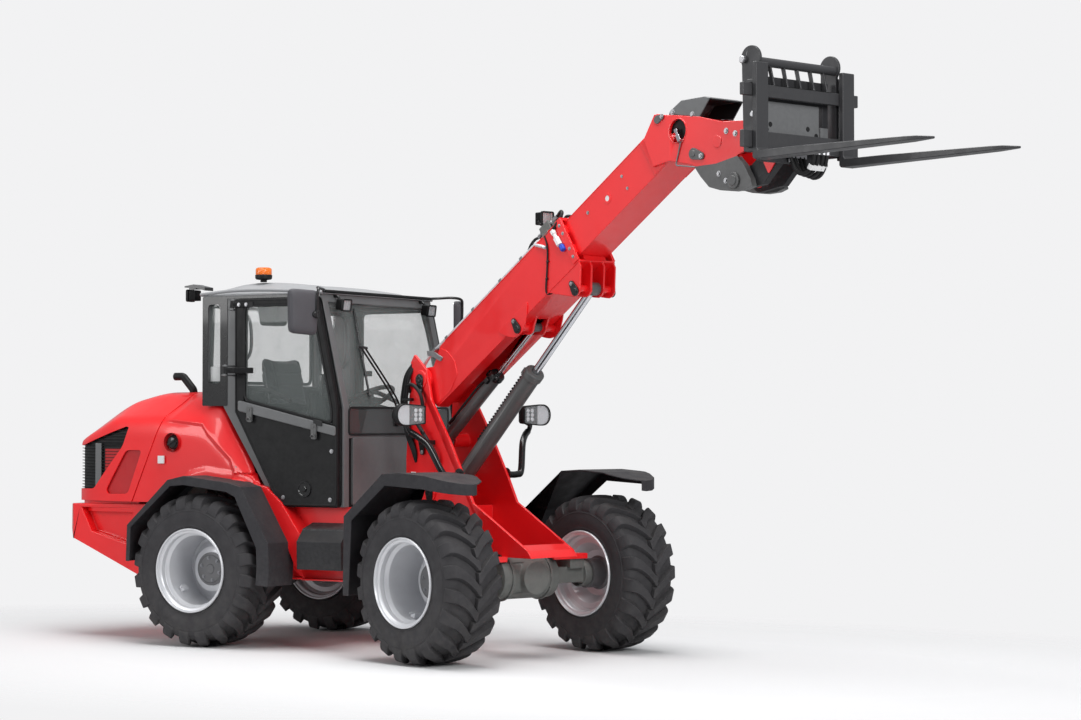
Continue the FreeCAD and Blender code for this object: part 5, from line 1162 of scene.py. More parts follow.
for s in (-1, 1):
    work_lamp(f"screen_lamp_{'right' if s < 0 else 'left'}", (-0.060, s * 0.517, 2.262),
              turn("y", math.radians(8)), "rear_frame")
work_lamp("rear_lamp", (-1.278, -0.610, 2.350), turn("z", math.pi), "rear_frame", (0.084, 0.084), 0.06)
brackets = []
for s in (-1, 1):
    brackets.append(pipe([(-0.160, s * 0.517, 2.325), (-0.125, s * 0.517, 2.318), (-0.108, s * 0.517, 2.285)],
                         0.010))
brackets.append(block((-1.262, -1.205), (-0.650, -0.570), (2.392, 2.402)))
brackets.append(prism([(-1.296, 2.404), (-1.296, 2.414), (-1.220, 2.424), (-1.125, 2.402), (-1.125, 2.380),
                       (-1.220, 2.404)], -0.655, -0.560))
piece("lamp_brackets", brackets, "gloss_black", "rear_frame", stands_for="cab_lights")

cap = lathe([(0.0001, 0.030), (0.030, 0.030), (0.036, 0.027), (0.038, 0.020), (0.046, 0.016), (0.050, 0.010),
             (0.050, 0.0), (0.0001, 0.0)], 60)
grip = [placed(block((-0.034, 0.034), (0.026, 0.040), (-0.007, 0.007)), turn("y", 0.5))]
cap_place = REAR @ shift(-1.372, -0.664, 1.354) @ turn("z", math.pi)
piece("fuel_cap_body", [cap] + grip, "gloss_black", "rear_frame", cap_place, bevel=0.002,
      stands_for="fuel_cap")
# The dish round the fuel cap takes the darker red that paints the shade in its recess.
dish = lathe([(0.0605, 0.034), (0.0595, 0.018), (0.056, 0.004), (0.048, 0.001), (0.0001, 0.001),
              (0.0001, -0.004), (0.062, -0.004), (0.064, 0.034)], 60)
piece("fuel_recess", [dish], "red_painted_shade", "rear_frame", cap_place)

filler = [(-1.140, 1.118), (-0.800, 1.108), (-0.560, 1.062), (-0.440, 0.960), (-0.240, 0.690),
          (-0.232, 0.545),
          (-0.330, 0.545), (-0.400, 0.690), (-0.600, 0.985), (-0.745, 1.040), (-1.130, 1.062)]
piece("arch_panels", mirrored([prism(filler, -0.716, -0.560)]), "red", "rear_frame", bevel=0.004)
seal = [(-1.735, -0.590), (-1.735, 0.590), (-1.860, 0.590), (-2.140, 0.585), (-2.272, 0.532), (-2.325, 0.468),
        (-2.325, -0.468), (-2.272, -0.532), (-2.140, -0.585), (-1.860, -0.590)]
piece("hood_seat", [prism(seal, 0.870, 0.9445, "xy")], "red", "rear_frame", bevel=0.002)
print("wipers, mirrors, lamps and caps:", len(bpy.data.meshes), "meshes so far")

# %% [markdown]
# ## Cab inside
#
# The seat's two pads start a little small and are filled by a short cloth run with pressure; how far
# a point may move is capped. Sewn channels are pressed in afterwards along lines of constant height.

# %%


def stuffed(name, shells, held, cap=0.024, voxel=0.006, pressure=4.0):
    """A pad blown up from closed shells; points where held(points) is true stay where they are."""
    obj = bpy.data.objects.new(name, mesh_of(name, shells, REAR))
    bpy.context.scene.collection.objects.link(obj)
    obj.modifiers.new("Remesh", "REMESH").voxel_size = voxel
    frozen(obj)
    rest = np.empty(len(obj.data.vertices) * 3)
    obj.data.vertices.foreach_get("co", rest)
    rest = rest.reshape(-1, 3)
    group = obj.vertex_groups.new(name="held")
    local = (rest - REAR[:3, 3]) @ REAR[:3, :3]
    group.add(np.nonzero(held(local))[0].tolist(), 1.0, "REPLACE")
    cloth = obj.modifiers.new("Cloth", "CLOTH")
    cloth.settings.quality, cloth.settings.mass = 4, 0.3
    cloth.settings.use_pressure, cloth.settings.uniform_pressure_force = True, pressure
    cloth.settings.effector_weights.gravity = 0
    cloth.settings.vertex_group_mass = "held"
    cloth.point_cache.frame_end = 20
    for tick in range(1, 21):
        bpy.context.scene.frame_set(tick)
    moved = np.empty_like(rest).ravel()
    obj.evaluated_get(bpy.context.evaluated_depsgraph_get()).data.vertices.foreach_get("co", moved)
    step = moved.reshape(-1, 3) - rest
    far = np.linalg.norm(step, axis=1, keepdims=True)
    step *= np.minimum(1.0, cap / np.maximum(far, 1e-9))
    obj.modifiers.clear()
    bpy.context.scene.frame_set(1)
    obj.data.vertices.foreach_set("co", (rest + step).ravel())
    obj.data.update()
    print(name, "points", len(rest), "moved up to", round(float(np.linalg.norm(step, axis=1).max()), 4))
    return obj


def channelled(obj, lines, depth=0.007, width=0.007):
    """Presses channels in: a point drops along its normal by depth * exp(-(distance / width)^2)."""
    count = len(obj.data.vertices)
    points, normals = np.empty(count * 3), np.empty(count * 3)
    obj.data.vertices.foreach_get("co", points)
    obj.data.vertices.foreach_get("normal", normals)
    points, normals = points.reshape(-1, 3), normals.reshape(-1, 3)
    local = (points - REAR[:3, 3]) @ REAR[:3, :3]
    drop = sum(np.exp(-(line(local) / width) ** 2) for line in lines)
    points = points - normals * (depth * np.minimum(drop, 1.2))[:, None]
    obj.data.vertices.foreach_set("co", points.ravel())
    obj.data.update()
    mod = obj.modifiers.new("Fine", "SUBSURF")
    mod.levels = mod.render_levels = 1
    obj.data.shade_smooth()
    return obj


def welt(name, obj, path, radius=0.0035):
    """Piping laid on the pad: each point of the path is moved to the pad's nearest surface."""
    on = []
    for point in smooth_path(path, 8):
        at = REAR[:3, :3] @ point + REAR[:3, 3]
        _, spot, normal, _ = obj.closest_point_on_mesh(at.tolist())
        on.append(REAR[:3, :3].T @ (np.array(spot) + 0.5 * radius * np.array(normal) - REAR[:3, 3]))
    return piece(name, [swept(np.array(on), disc_outline(radius, 8))], "stitch", "rear_frame", angle=60)


def padded_slab(outline, half, round_by=0.045):
    """Closed slab whose sides draw in towards its ends in y: half-ellipse fall over the last stretch."""
    rings = []
    for t in np.linspace(-1, 1, 17):
        edge = max(0.0, (abs(t) - 0.82) / 0.18)
        line = inset(rounded_outline(outline, round_by),
                     0.016 + 0.020 * (1 - math.sqrt(max(0.0, 1 - edge ** 2))))
        rings.append(np.insert(line, 1, t * (half - 0.014), axis=1))
    return skin(rings, wrap_columns=True, capped=True)


CUSHION = [(-0.940, 1.362), (-0.440, 1.362), (-0.440, 1.455), (-0.520, 1.476), (-0.800, 1.458),
           (-0.940, 1.462)]
BACK = [(-0.940, 1.430), (-0.830, 1.425), (-0.850, 1.560), (-0.900, 1.770), (-0.930, 1.945), (-1.010, 1.950),
        (-1.000, 1.800), (-0.965, 1.600)]
cushion = stuffed("seat_cushion", [padded_slab(CUSHION, 0.240)], lambda p: p[:, 2] < 1.385)
channelled(cushion, [lambda p: p[:, 0] + 0.560, lambda p: p[:, 0] + 0.660, lambda p: p[:, 0] + 0.760,
                     lambda p: np.abs(p[:, 1]) - 0.160])
dressed(cushion, "fabric", "rear_frame", "seat")
backrest = stuffed("seat_back", [padded_slab(BACK, 0.230)],
                   lambda p: p[:, 0] < -0.945 - 0.11 * (p[:, 2] - 1.43) / 0.52)
channelled(backrest, [lambda p, h=h: p[:, 2] - h for h in (1.560, 1.650, 1.740, 1.830)]
           + [lambda p: np.abs(p[:, 1]) - 0.155])
dressed(backrest, "fabric", "rear_frame")
welt("cushion_welt", cushion, [(-0.92, -0.235, 1.40), (-0.68, -0.240, 1.42), (-0.45, -0.230, 1.41),
                               (-0.435, 0.0, 1.41), (-0.45, 0.230, 1.41), (-0.68, 0.240, 1.42),
                               (-0.92, 0.235, 1.40)])
welt("back_welt", backrest, [(-0.90, -0.230, 1.47), (-0.935, -0.230, 1.70), (-0.975, -0.220, 1.92),
                             (-0.975, 0.0, 1.955), (-0.975, 0.220, 1.92), (-0.935, 0.230, 1.70),
                             (-0.90, 0.230, 1.47)])

# %% [markdown]
# Steering wheel, column, lever console, armrest details, display, visor and headliner.

# %%
wheel_at = REAR @ shift(-0.245, 0, 1.640) @ turn("y", math.radians(-28)) @ turn("x", math.pi / 2)
t = np.linspace(0, 2 * math.pi, 25)
grip = [(0.190 + 0.0155 * math.cos(a), 0.0155 * math.sin(a)) for a in t[:-1]]
rows = np.array([[(r * math.cos(b), h + 0.0012 * math.cos(36 * b), r * math.sin(b)) for r, h in grip]
                 for b in np.linspace(0, 2 * math.pi, 144, endpoint=False)])
grip = [skin(rows, wrap_rows=True, wrap_columns=True)]
grip.append(lathe([(0.0001, 0.030), (0.040, 0.028), (0.054, 0.016), (0.056, -0.012), (0.034, -0.030),
                  (0.030, -0.060), (0.0001, -0.060)], 60))
for degrees in (90, 210, 330):
    spoke = [(0.040, 0.0), (0.110, 0.006), (0.188, 0.0)]
    flat = [(-0.019, -0.005), (0.019, -0.005), (0.019, 0.005), (-0.019, 0.005)]
    bar = swept(np.array([(r, h, 0.0) for r, h in spoke]), np.array(flat), [1.25, 0.9, 0.8])
    grip.append(placed(bar, turn("y", math.radians(degrees))))
piece("steering_wheel_rim", grip, "rubber", "rear_frame", wheel_at, stands_for="steering_wheel", angle=50)
cap = lathe([(0.0001, 0.034), (0.026, 0.033), (0.030, 0.030), (0.0001, 0.028)], 40)
knob = placed(lathe([(0.0001, 0.052), (0.014, 0.050), (0.020, 0.040), (0.018, 0.026), (0.009, 0.018),
                     (0.009, 0.0), (0.0001, 0.0)], 30), shift(-0.120, 0.012, 0.147))
piece("steering_cap", [cap, knob], "gloss_black", "rear_frame", wheel_at, angle=50)
column = [pipe([(-0.232, 0, 1.610), (-0.150, 0, 1.460), (-0.050, 0, 1.280)], 0.036, 20),
          pipe([(-0.215, 0.02, 1.575), (-0.225, 0.10, 1.590), (-0.235, 0.165, 1.600)], 0.008),
          prism(rounded_outline([(-0.190, 1.400), (-0.040, 1.360), (-0.010, 1.420), (-0.010, 1.500),
                                 (-0.080, 1.545), (-0.200, 1.500)], 0.02), -0.150, 0.150)]
piece("steering_column", column, "black", "rear_frame", bevel=0.006, angle=40)
tub = prism(rounded_outline([(-0.030, 0.955), (-0.004, 0.955), (-0.004, 1.400), (-0.110, 1.380),
                             (-0.150, 1.180), (-0.110, 0.955)], 0.02), -0.230, 0.230)
dials = [prism(disc_outline(0.035, 32, (y, 1.470)), -0.1435, -0.1400, "yz") for y in (-0.085, 0.085)]
piece("dash_tub", [tub], "black", "rear_frame", bevel=0.008)
piece("dash_dials", dials, "glass", "rear_frame", REAR @ shift(-0.045, 0, 0.035))
lever = [boss([(0.0001, 0.0), (0.052, 0.0), (0.048, 0.012), (0.036, 0.020), (0.040, 0.030), (0.026, 0.040),
               (0.028, 0.050), (0.014, 0.062), (0.010, 0.140), (0.018, 0.150), (0.027, 0.190), (0.029, 0.235),
               (0.024, 0.262), (0.010, 0.272), (0.0001, 0.273)], 36, (-0.395, -0.420, 1.420), "x",
              math.pi / 2)]
for k in range(3):
    lever.append(block((-0.374, -0.362), (-0.432 + 0.012 * k, -0.424 + 0.012 * k), (1.655, 1.668)))
for k in range(4):
    lever.append(boss([(0.0001, 0.012), (0.010, 0.012), (0.012, 0.0), (0.0001, 0.0)], 20,
                      (-0.560 - 0.045 * k, -0.480, 1.420), "x", math.pi / 2))
piece("console_lever", lever, "rubber", "rear_frame", angle=50)
armrest = prism(rounded_outline([(-0.850, 1.560), (-0.550, 1.560), (-0.540, 1.605), (-0.600, 1.622),
                                 (-0.850, 1.618)], 0.018), -0.335, -0.255)
piece("arm_pad", [armrest], "black", "rear_frame", bevel=0.014, angle=50)
screen = [prism(rounded_outline([(-0.540, 1.640), (-0.330, 1.640), (-0.330, 1.790), (-0.540, 1.790)], 0.016),
                -0.012, 0.012, "yz")]
piece("display", screen, "gloss_black", "rear_frame", REAR @ shift(-0.250, 0, 0.02), bevel=0.004)
stalk = [pipe([(-0.235, -0.435, 1.660), (-0.215, -0.435, 1.560), (-0.160, -0.440, 1.400)], 0.012)]
visor = [pipe([(-0.235, y, 2.225) for y in (-0.52, -0.30, -0.10)], 0.028, 20)]
lining_and_shade_sheets = [block((-1.110, -0.190), (-0.630, 0.630), (2.296, 2.334))]
speaker = [prism(rounded_outline([(-0.760, 2.140), (-0.640, 2.140), (-0.610, 2.290), (-0.790, 2.290)], 0.025),
                 -0.520, -0.380)]
piece("cab_trim", stalk + visor + lining_and_shade_sheets + speaker, "black", "rear_frame", bevel=0.005, angle=40)
mats = [block((-1.050, -0.020), (-0.560, 0.560), (0.9365, 0.946))]
piece("floor_mat", mats, "rubber", "rear_frame", bevel=0.003)
rear_shelf = [prism(rounded_outline([(-1.110, 1.400), (-0.985, 1.400), (-0.985, 1.700), (-1.020, 1.735),
                                     (-1.110, 1.735)], 0.02), -0.600, 0.600)]
piece("rear_shelf", rear_shelf, "black", "rear_frame", bevel=0.006)
print("controls and trim:", len(bpy.data.meshes), "meshes so far")

# %% [markdown]
# ## Boom, hydraulics and lamps
#
# Boom details are drawn in the boom's own frame: x runs along the boom from its pivot, z square to it.

# %%


def bolts(spots, y, axis, radius=0.011):
    """Bolt heads on a face square to y."""
    heads = []
    for x, z in spots:
        heads += hex_bolt((x, y, z), axis, radius)
    return heads


def puck(x, y, z, radius, height, side=-1, edge=0.003):
    """Short disc with a rounded rim that stands off a side face."""
    turned = lathe([(0.0001, height), (radius - edge, height), (radius, height - edge), (radius, 0.0),
                    (0.0001, 0.0)],
                   40)
    return placed(turned, shift(x, y, z) @ turn("z", math.pi if side < 0 else 0))


def capsule(a, b, big, small, sides=14):
    """Outline round two circles, for pin plates."""
    a, b = np.array(a), np.array(b)
    way = math.atan2(*(b - a)[::-1])
    lean = math.acos((big - small) / np.linalg.norm(b - a))
    out = []
    for middle, radius, low, high in ((a, big, way + lean, way + 2 * math.pi - lean),
                                      (b, small, way - lean, way + lean)):
        for angle in np.linspace(low, high, sides):
            out.append((middle[0] + radius * math.cos(angle), middle[1] + radius * math.sin(angle)))
    return out


doubler = rounded_outline([(-0.050, -0.060), (0.006, -0.203), (0.170, -0.203), (0.288, -0.150),
                           (0.312, -0.060), (0.286, 0.030), (0.236, 0.092), (0.112, 0.026),
                           (0.055, 0.052), (-0.036, 0.060), (-0.070, 0.0)], 0.012)
lobe = rounded_outline([(0.770, -0.150), (0.830, -0.225), (0.885, -0.272), (0.945, -0.288), (1.000, -0.268),
                        (1.055, -0.225), (1.115, -0.150)], 0.030)
plates, seams, caps, heads = [], [], [], []
for s in (-1, 1):
    side = sorted((s * 0.1495, s * 0.1540))
    plates.append(prism(doubler, *side))
    plates.append(prism(lobe, *sorted((s * 0.1495, s * 0.1570))))
    plates.append(block((1.585, 1.6415), sorted((s * 0.1495, s * 0.1570)), (-0.205, 0.106)))
    seams.append(pipe([(1.288, s * 0.151, -0.216), (1.45, s * 0.151, -0.216), (1.632, s * 0.151, -0.216)],
                      0.0035, 8))
    seams.append(pipe([(0.30, s * 0.1505, 0.1045), (0.9, s * 0.1505, 0.1045), (1.58, s * 0.1505, 0.1045)],
                      0.003, 8))
    for big, small, y in (((1.509, -0.352), (1.507, -0.296), 0.150),
                          ((0.944, -0.245), (0.941, -0.186), 0.157)):
        caps.append(prism(capsule(big, small, 0.030, 0.020), *sorted((s * y, s * (y + 0.010)))))
        caps.append(puck(big[0], s * (y + 0.009), big[1], 0.020, 0.006, s))
        heads += bolts([small], s * (y + 0.010), (0, s, 0), 0.009)
    heads += bolts([(1.612, -0.165), (1.612, -0.105), (1.612, 0.010), (1.612, 0.070)], s * 0.157, (0, s, 0),
                   0.008)
plates.append(block((1.585, 1.6415), (-0.157, 0.157), (0.1045, 0.1120)))
plates.append(pipe([(0.94, -0.150, -0.226), (0.94, 0.0, -0.226), (0.94, 0.150, -0.226)], 0.026))
piece("boom_plates", plates, "red", "boom", BOOM, bevel=0.003)
piece("boom_seams", seams, "red", "boom", BOOM)
piece("boom_pin_plates", caps, "gloss_black", "boom", BOOM, bevel=0.002)
piece("boom_bolts", heads, "steel", "boom", BOOM, bevel=0.001)

runs = [pipe([(-0.020, y, 0.085), (0.060, y, 0.112), (0.170, y, 0.1195), (0.60, y, 0.1195), (1.30, y, 0.1195),
              (1.345, y - 0.004, 0.112),
              (1.390, y - 0.022, 0.078), (1.438, y - 0.026, 0.028)], 0.0105) for y in (-0.134,)]
runs.append(pipe([(0.170, -0.108, 0.119), (0.60, -0.108, 0.119), (1.10, -0.108, 0.119),
                  (1.33, -0.108, 0.127)], 0.0085))
for y in (-0.075, -0.045, -0.015):
    runs.append(pipe([(0.230, y, 0.119), (0.70, y, 0.119), (1.15, y, 0.119), (1.25, y, 0.125),
                      (1.345, y, 0.145)], 0.008))
piece("edge_pipes", runs, "silver", "boom", BOOM, stands_for="boom_pipes")
clips = [block((u, u + 0.030), (-0.146, -0.001), (0.104, 0.131)) for u in (0.30, 0.62, 0.94, 1.18)]
piece("pipe_clips", clips, "plate", "boom", BOOM, bevel=0.003)
clamp = [prism(rounded_outline([(0.118, 0.150), (0.176, 0.104), (0.232, 0.020), (0.196, 0.012),
                                (0.150, 0.080), (0.104, 0.118)], 0.008), -0.162, -0.152)]
clamp.append(block((0.150, 0.200), (-0.160, -0.060), (0.105, 0.122)))
piece("pipe_holder", clamp, "steel", "boom", BOOM, bevel=0.002)
print("boom plates and lines:", len(bpy.data.meshes), "meshes so far")

# %% [markdown]
# The valve block near the boom's front end, with hex unions, hose tails, a capped coupling and its cable.

# %%


def fitting(start, stop, radius,
            steps=((0.0, 1.0), (0.22, 1.0), (0.24, 0.72), (0.5, 0.72), (0.52, 1.12), (1.0, 1.12))):
    """Union between two points: radius times a stepped factor along its length."""
    a, b = np.array(start), np.array(stop)
    path = [a + (b - a) * t for t, _ in steps]
    return swept(path, disc_outline(radius, 6), [f for _, f in steps])


block_parts = [block((1.332, 1.560), (-0.112, -0.018), (0.104, 0.128)),
               block((1.402, 1.500), (-0.107, -0.033), (0.126, 0.201)),
               block((1.512, 1.552), (-0.100, -0.040), (0.126, 0.168)),
               block((1.440, 1.500), (-0.153, -0.100), (0.098, 0.122))]
piece("valve_body", block_parts, "cast", "boom", BOOM, bevel=0.004)
unions = []
for y, z in ((-0.090, 0.175), (-0.052, 0.145), (-0.052, 0.180)):
    unions.append(fitting((1.498, y, z), (1.572, y, z), 0.013))
    unions.append(fitting((1.404, y, z), (1.360, y, z - 0.010), 0.012))
unions += hex_bolt((1.420, -0.070, 0.201), (0, 0, 1), 0.010) + hex_bolt((1.480, -0.070, 0.201), (0, 0, 1),
                                                                        0.010)
piece("valve_unions", unions, "steel", "boom", BOOM, bevel=0.001)
piece("coupling_body", [fitting((1.548, -0.160, 0.075), (1.560, -0.166, -0.040), 0.019)], "white", "boom",
      BOOM)
piece("coupling_cap",
      [boss([(0.0001, 0.0), (0.015, 0.0), (0.019, 0.006), (0.019, 0.034), (0.014, 0.040), (0.0001, 0.040)],
            32, (1.566, -0.160, -0.045), "x", -math.pi / 2)],
      "blue", "boom", BOOM)
tails = [pipe([(1.362, -0.052, 0.135), (1.330, -0.060, 0.150), (1.300, -0.095, 0.150),
               (1.262, -0.100, 0.124)], 0.009),
         pipe([(1.362, -0.090, 0.165), (1.330, -0.100, 0.170), (1.300, -0.120, 0.150),
               (1.255, -0.124, 0.124)], 0.009),
         pipe([(1.570, -0.052, 0.145), (1.610, -0.050, 0.150), (1.630, -0.030, 0.130), (1.600, 0.000, 0.118)],
              0.010),
         pipe([(1.570, -0.090, 0.175), (1.620, -0.095, 0.178), (1.640, -0.120, 0.140), (1.600, -0.150, 0.100),
               (1.556, -0.160, 0.080)], 0.010)]
piece("valve_hoses", tails, "rubber", "boom", BOOM)
print("valve block:", len(bpy.data.meshes), "meshes so far")

# %% [markdown]
# Eyes of the rods, the cable on the boom's side, the lamp on the boom and the two headlamps on the tower.

# %%
for name, body, (u, v), radius in (("lift_eye", "lift_rod", (1.510, -0.330), 0.0405),
                                   ("level_eye", "level_rod", (0.940, -0.226), 0.0265)):
    eye = lathe([(radius * 0.55, 0.0412), (radius - 0.002, 0.0412), (radius + 0.0005, 0.038),
                 (radius + 0.0005, -0.038), (radius - 0.002, -0.0412), (radius * 0.55, -0.0412)], 60)
    piece(name, [placed(eye, shift(u, 0, v))], "cylinder", body, BOOM, angle=40)
cable = [pipe([(1.462, -0.150, 0.100), (1.446, -0.156, 0.016), (1.372, -0.156, -0.092),
               (1.292, -0.156, -0.200),
               (1.300, -0.130, -0.222), (1.380, -0.100, -0.222), (1.440, -0.080, -0.222)], 0.0055, 10)]
piece("boom_cable", cable, "rubber", "boom", BOOM)
ties = [block((1.395, 1.412), (-0.1635, -0.149), (-0.060, -0.048)),
        block((1.330, 1.347), (-0.1635, -0.149), (-0.146, -0.134))]
piece("cable_ties", ties, "gloss_black", "boom", BOOM, bevel=0.002)
lamp_place = BOOM @ shift(1.405, -0.029, 0.283) @ turn("y", math.radians(33))
work_lamp("boom_lamp", (0.034, 0, 0), turn("y", 0), "boom", (0.104, 0.092), 0.06, lamp_place)
stand = [block((1.385, 1.425), (-0.015, 0.007), (0.104, 0.250)),
         block((1.370, 1.440), (-0.040, 0.030), (0.104, 0.130))]
stand.append(pipe([(1.405, -0.004, 0.235), (1.405, -0.070, 0.235), (1.405, -0.086, 0.262)], 0.009))
piece("boom_lamp_stand", stand, "gloss_black", "boom", BOOM, bevel=0.003, stands_for="boom_light")

for s in (-1, 1):
    side = "right" if s < 0 else "left"
    t = np.linspace(-math.pi / 2, math.pi / 2, 15)
    bow = [(s * (0.575 + 0.080 * math.cos(a) ** 0.8), 1.5385 + 0.0715 * math.sin(a)) for a in t]
    face = rounded_outline([(s * 0.415, 1.480)] + bow + [(s * 0.415, 1.598)], 0.012)
    middle = np.array([s * 0.535, 1.5385])
    shell = stepped(face, middle, ((0.727, 0.15), (0.729, 0.45), (0.736, 0.66), (0.752, 0.84), (0.775, 0.96),
                                   (0.800, 1.0), (0.826, 1.0), (0.829, 0.98), (0.829, 0.91), (0.812, 0.89)))
    yoke = [pipe([(0.770, s * 0.520, 1.478), (0.765, s * 0.520, 1.455), (0.770, s * 0.500, 1.425)], 0.016),
            pipe([(0.765, s * 0.520, 1.470), (0.720, s * 0.520, 1.490), (0.715, s * 0.520, 1.535)], 0.010)]
    stem = pipe([(0.900, s * 0.190, 1.150), (0.900, s * 0.290, 1.150), (0.890, s * 0.335, 1.175),
                 (0.830, s * 0.400, 1.340), (0.790, s * 0.455, 1.400), (0.768, s * 0.500, 1.430)], 0.022, 18)
    flange = [puck(0.900, s * 0.195, 1.150, 0.045, 0.010, s)]
    piece(side + "_headlamp_case", [shell], "black", "front_frame", FRONT,
          stands_for="headlights" if s < 0 else (), angle=40)
    piece(side + "_headlamp_stem", yoke + [stem] + flange, "gloss_black", "front_frame", FRONT, bevel=0.002,
          angle=40)
    cells = [prism(rounded_outline([(s * 0.430, 1.490), (s * 0.534, 1.486), (s * 0.534, 1.591),
                                    (s * 0.430, 1.588)], 0.006), 0.813, 0.820, "yz")]
    piece(side + "_headlamp_cells", cells, "gloss_black", "front_frame", FRONT)
    dots = [boss([(0.0001, 0.003), (0.012, 0.002), (0.014, 0.0), (0.0001, -0.001)], 24, (0.8215, s * y, z),
                 "z", -math.pi / 2)
            for y in (0.457, 0.494) for z in (1.510, 1.5385, 1.567)]
    piece(side + "_headlamp_cell_eyes", dots, "silver", "front_frame", FRONT)
    half = [p for p in bow if abs(p[0]) > 0.56]
    dish = middle + (np.array([(s * 0.545, half[0][1])] + half + [(s * 0.545, half[-1][1])]) - middle) * 0.88
    piece(side + "_headlamp_reflector", [prism(dish, 0.812, 0.819, "yz")], "silver", "front_frame", FRONT,
          bevel=0.001)
    pane = middle + (face - middle) * 0.90
    piece(side + "_headlamp_pane", [prism(pane, 0.8235, 0.8262, "yz")], "lens", "front_frame", FRONT)
print("rod eyes, lamps:", len(bpy.data.meshes), "meshes so far")

# %% [markdown]
# ## Boom head, carriage, hoses and tower
#
# These pieces are drawn in the front frame: x forward, z up, with the boom at its rest angle.

# %%
nose, plates, pins, heads, lining_and_shade_sheets = [], [], [], [], []
NOSE = [(2.988, 2.984), (3.040, 2.922), (3.110, 2.856), (3.200, 2.832), (3.310, 2.819), (3.400, 2.823),
        (3.454, 2.839), (3.443, 2.882), (3.388, 2.970), (3.334, 3.021), (3.165, 2.989)]
for s in (-1, 1):
    out = lambda a, b: sorted((s * a, s * b))
    nose.append(prism(NOSE, *out(0.1105, 0.1525)))
    nose += [puck(3.310, s * 0.1520, 2.880, 0.048, 0.012, s), puck(3.310, s * 0.164, 2.880, 0.030, 0.006, s)]
    plates += [puck(3.176, s * 0.1495, 3.115, 0.036, 0.005, s),
               puck(2.684, s * 0.1495, 3.286, 0.036, 0.003, s)]
    lip = lathe([(0.0700, 0.0), (0.0695, 0.0035), (0.0745, 0.0040), (0.0775, 0.0)], 60)
    plates.append(placed(lip, shift(2.850, s * 0.1495, 3.205) @ turn("z", math.pi if s < 0 else 0)))
    pins.append(prism(capsule((2.985, 3.060), (3.050, 3.042), 0.034, 0.022), *out(0.149, 0.160)))
    pins.append(puck(2.985, s * 0.159, 3.060, 0.021, 0.006, s))
    pins.append(prism(capsule((2.684, 3.286), (2.722, 3.300), 0.025, 0.016), *out(0.152, 0.160)))
    heads += bolts([(3.248, 3.171), (3.320, 3.151), (3.390, 3.154), (3.376, 3.104)], s * 0.150, (0, s, 0),
                   0.0125)
    heads += bolts([(3.050, 3.042)], s * 0.160, (0, s, 0), 0.011)
    heads += bolts([(2.722, 3.300)], s * 0.160, (0, s, 0), 0.009)
    heads += bolts([(3.190, 2.928), (3.246, 2.884)], s * 0.1525, (0, s, 0), 0.0115)
    heads += bolts([(2.800, 3.320), (2.965, 3.292)], s * 0.142, (0, s, 0), 0.013)
    # Side sheets inside the head's opening: painted shade.
    lining_and_shade_sheets.append(prism([(2.760, 3.120), (2.930, 3.120), (2.930, 3.280), (2.760, 3.280)],
                       *out(0.1225, 0.1285)))
    lining_and_shade_sheets.append(prism([(2.800, 3.290), (2.876, 3.371), (3.056, 3.376), (3.099, 3.365), (3.030, 3.284)],
                       *out(0.1325, 0.1338)))
lining_and_shade_sheets.append(prism([(2.876, 3.3745), (3.058, 3.3798), (3.104, 3.3682), (3.104, 3.3665), (3.058, 3.3780),
                    (2.876, 3.3725)], -0.1335, 0.1335))
piece("nose_plates", nose, "cylinder", "inner_boom", FRONT, bevel=0.004)
piece("head_plates", plates, "red", "inner_boom", FRONT, bevel=0.001)
piece("head_pins", pins, "cylinder", "inner_boom", FRONT, bevel=0.002)
piece("head_bolts", heads, "steel", "inner_boom", FRONT, bevel=0.001)
# Dark rubber sheets on the sides and top of the head's opening are painted shade, where the opening would
# only be in shadow.
piece("head_shade_sheets", lining_and_shade_sheets, "rubber", "inner_boom", FRONT)
socket = [fitting((2.838, -0.149, 3.212), (2.884, -0.160, 3.138), 0.019),
          fitting((2.852, -0.156, 3.190), (2.880, -0.160, 3.145), 0.014)]
piece("head_coupling", socket, "chrome", "inner_boom", FRONT, bevel=0.001)
line = pipe([(2.883, -0.159, 3.138), (2.861, -0.155, 3.073), (2.843, -0.154, 3.008), (2.880, -0.152, 2.998),
             (2.994, -0.150, 2.982)], 0.0042)
piece("head_line", [line], "plate", "inner_boom", FRONT)
eyes = [boss([(0.019, 0.0), (0.018, 0.003), (0.033, 0.003), (0.034, 0.0)], 40, (2.025, -0.1195, -0.025), "z",
             math.pi),
        pipe([(1.10, -0.1205, 0.0805), (1.9, -0.1205, 0.0805), (2.59, -0.1205, 0.0805)], 0.0025, 8),
        pipe([(1.10, -0.1205, -0.1635), (1.9, -0.1205, -0.1635), (2.59, -0.1205, -0.1635)], 0.0025, 8)]
piece("inner_boom_seams", mirrored(eyes), "red", "inner_boom", BOOM)
halo = [puck(2.025, -0.1194, -0.025, 0.034, 0.0010, -1, 0.0005)]
piece("inner_boom_plug_seats", mirrored(halo), "gloss_black", "inner_boom", BOOM)
plugs = [puck(2.025, -0.1200, -0.025, 0.0225, 0.0010, -1, 0.0005)]
piece("inner_boom_plugs", mirrored(plugs), "white", "inner_boom", BOOM)
studs = bolts([(1.836, 0.006)], -0.120, (0, -1, 0), 0.008)
studs += bolts([(2.20, 0.010), (2.20, -0.080)], -0.120, (0, -1, 0), 0.007)
piece("inner_boom_bolts", mirrored(studs), "steel", "inner_boom", BOOM)
print("boom head:", len(bpy.data.meshes), "meshes so far")

# %% [markdown]
# Carriage fittings, the closing plate of the hitch, and the four hoses between them.

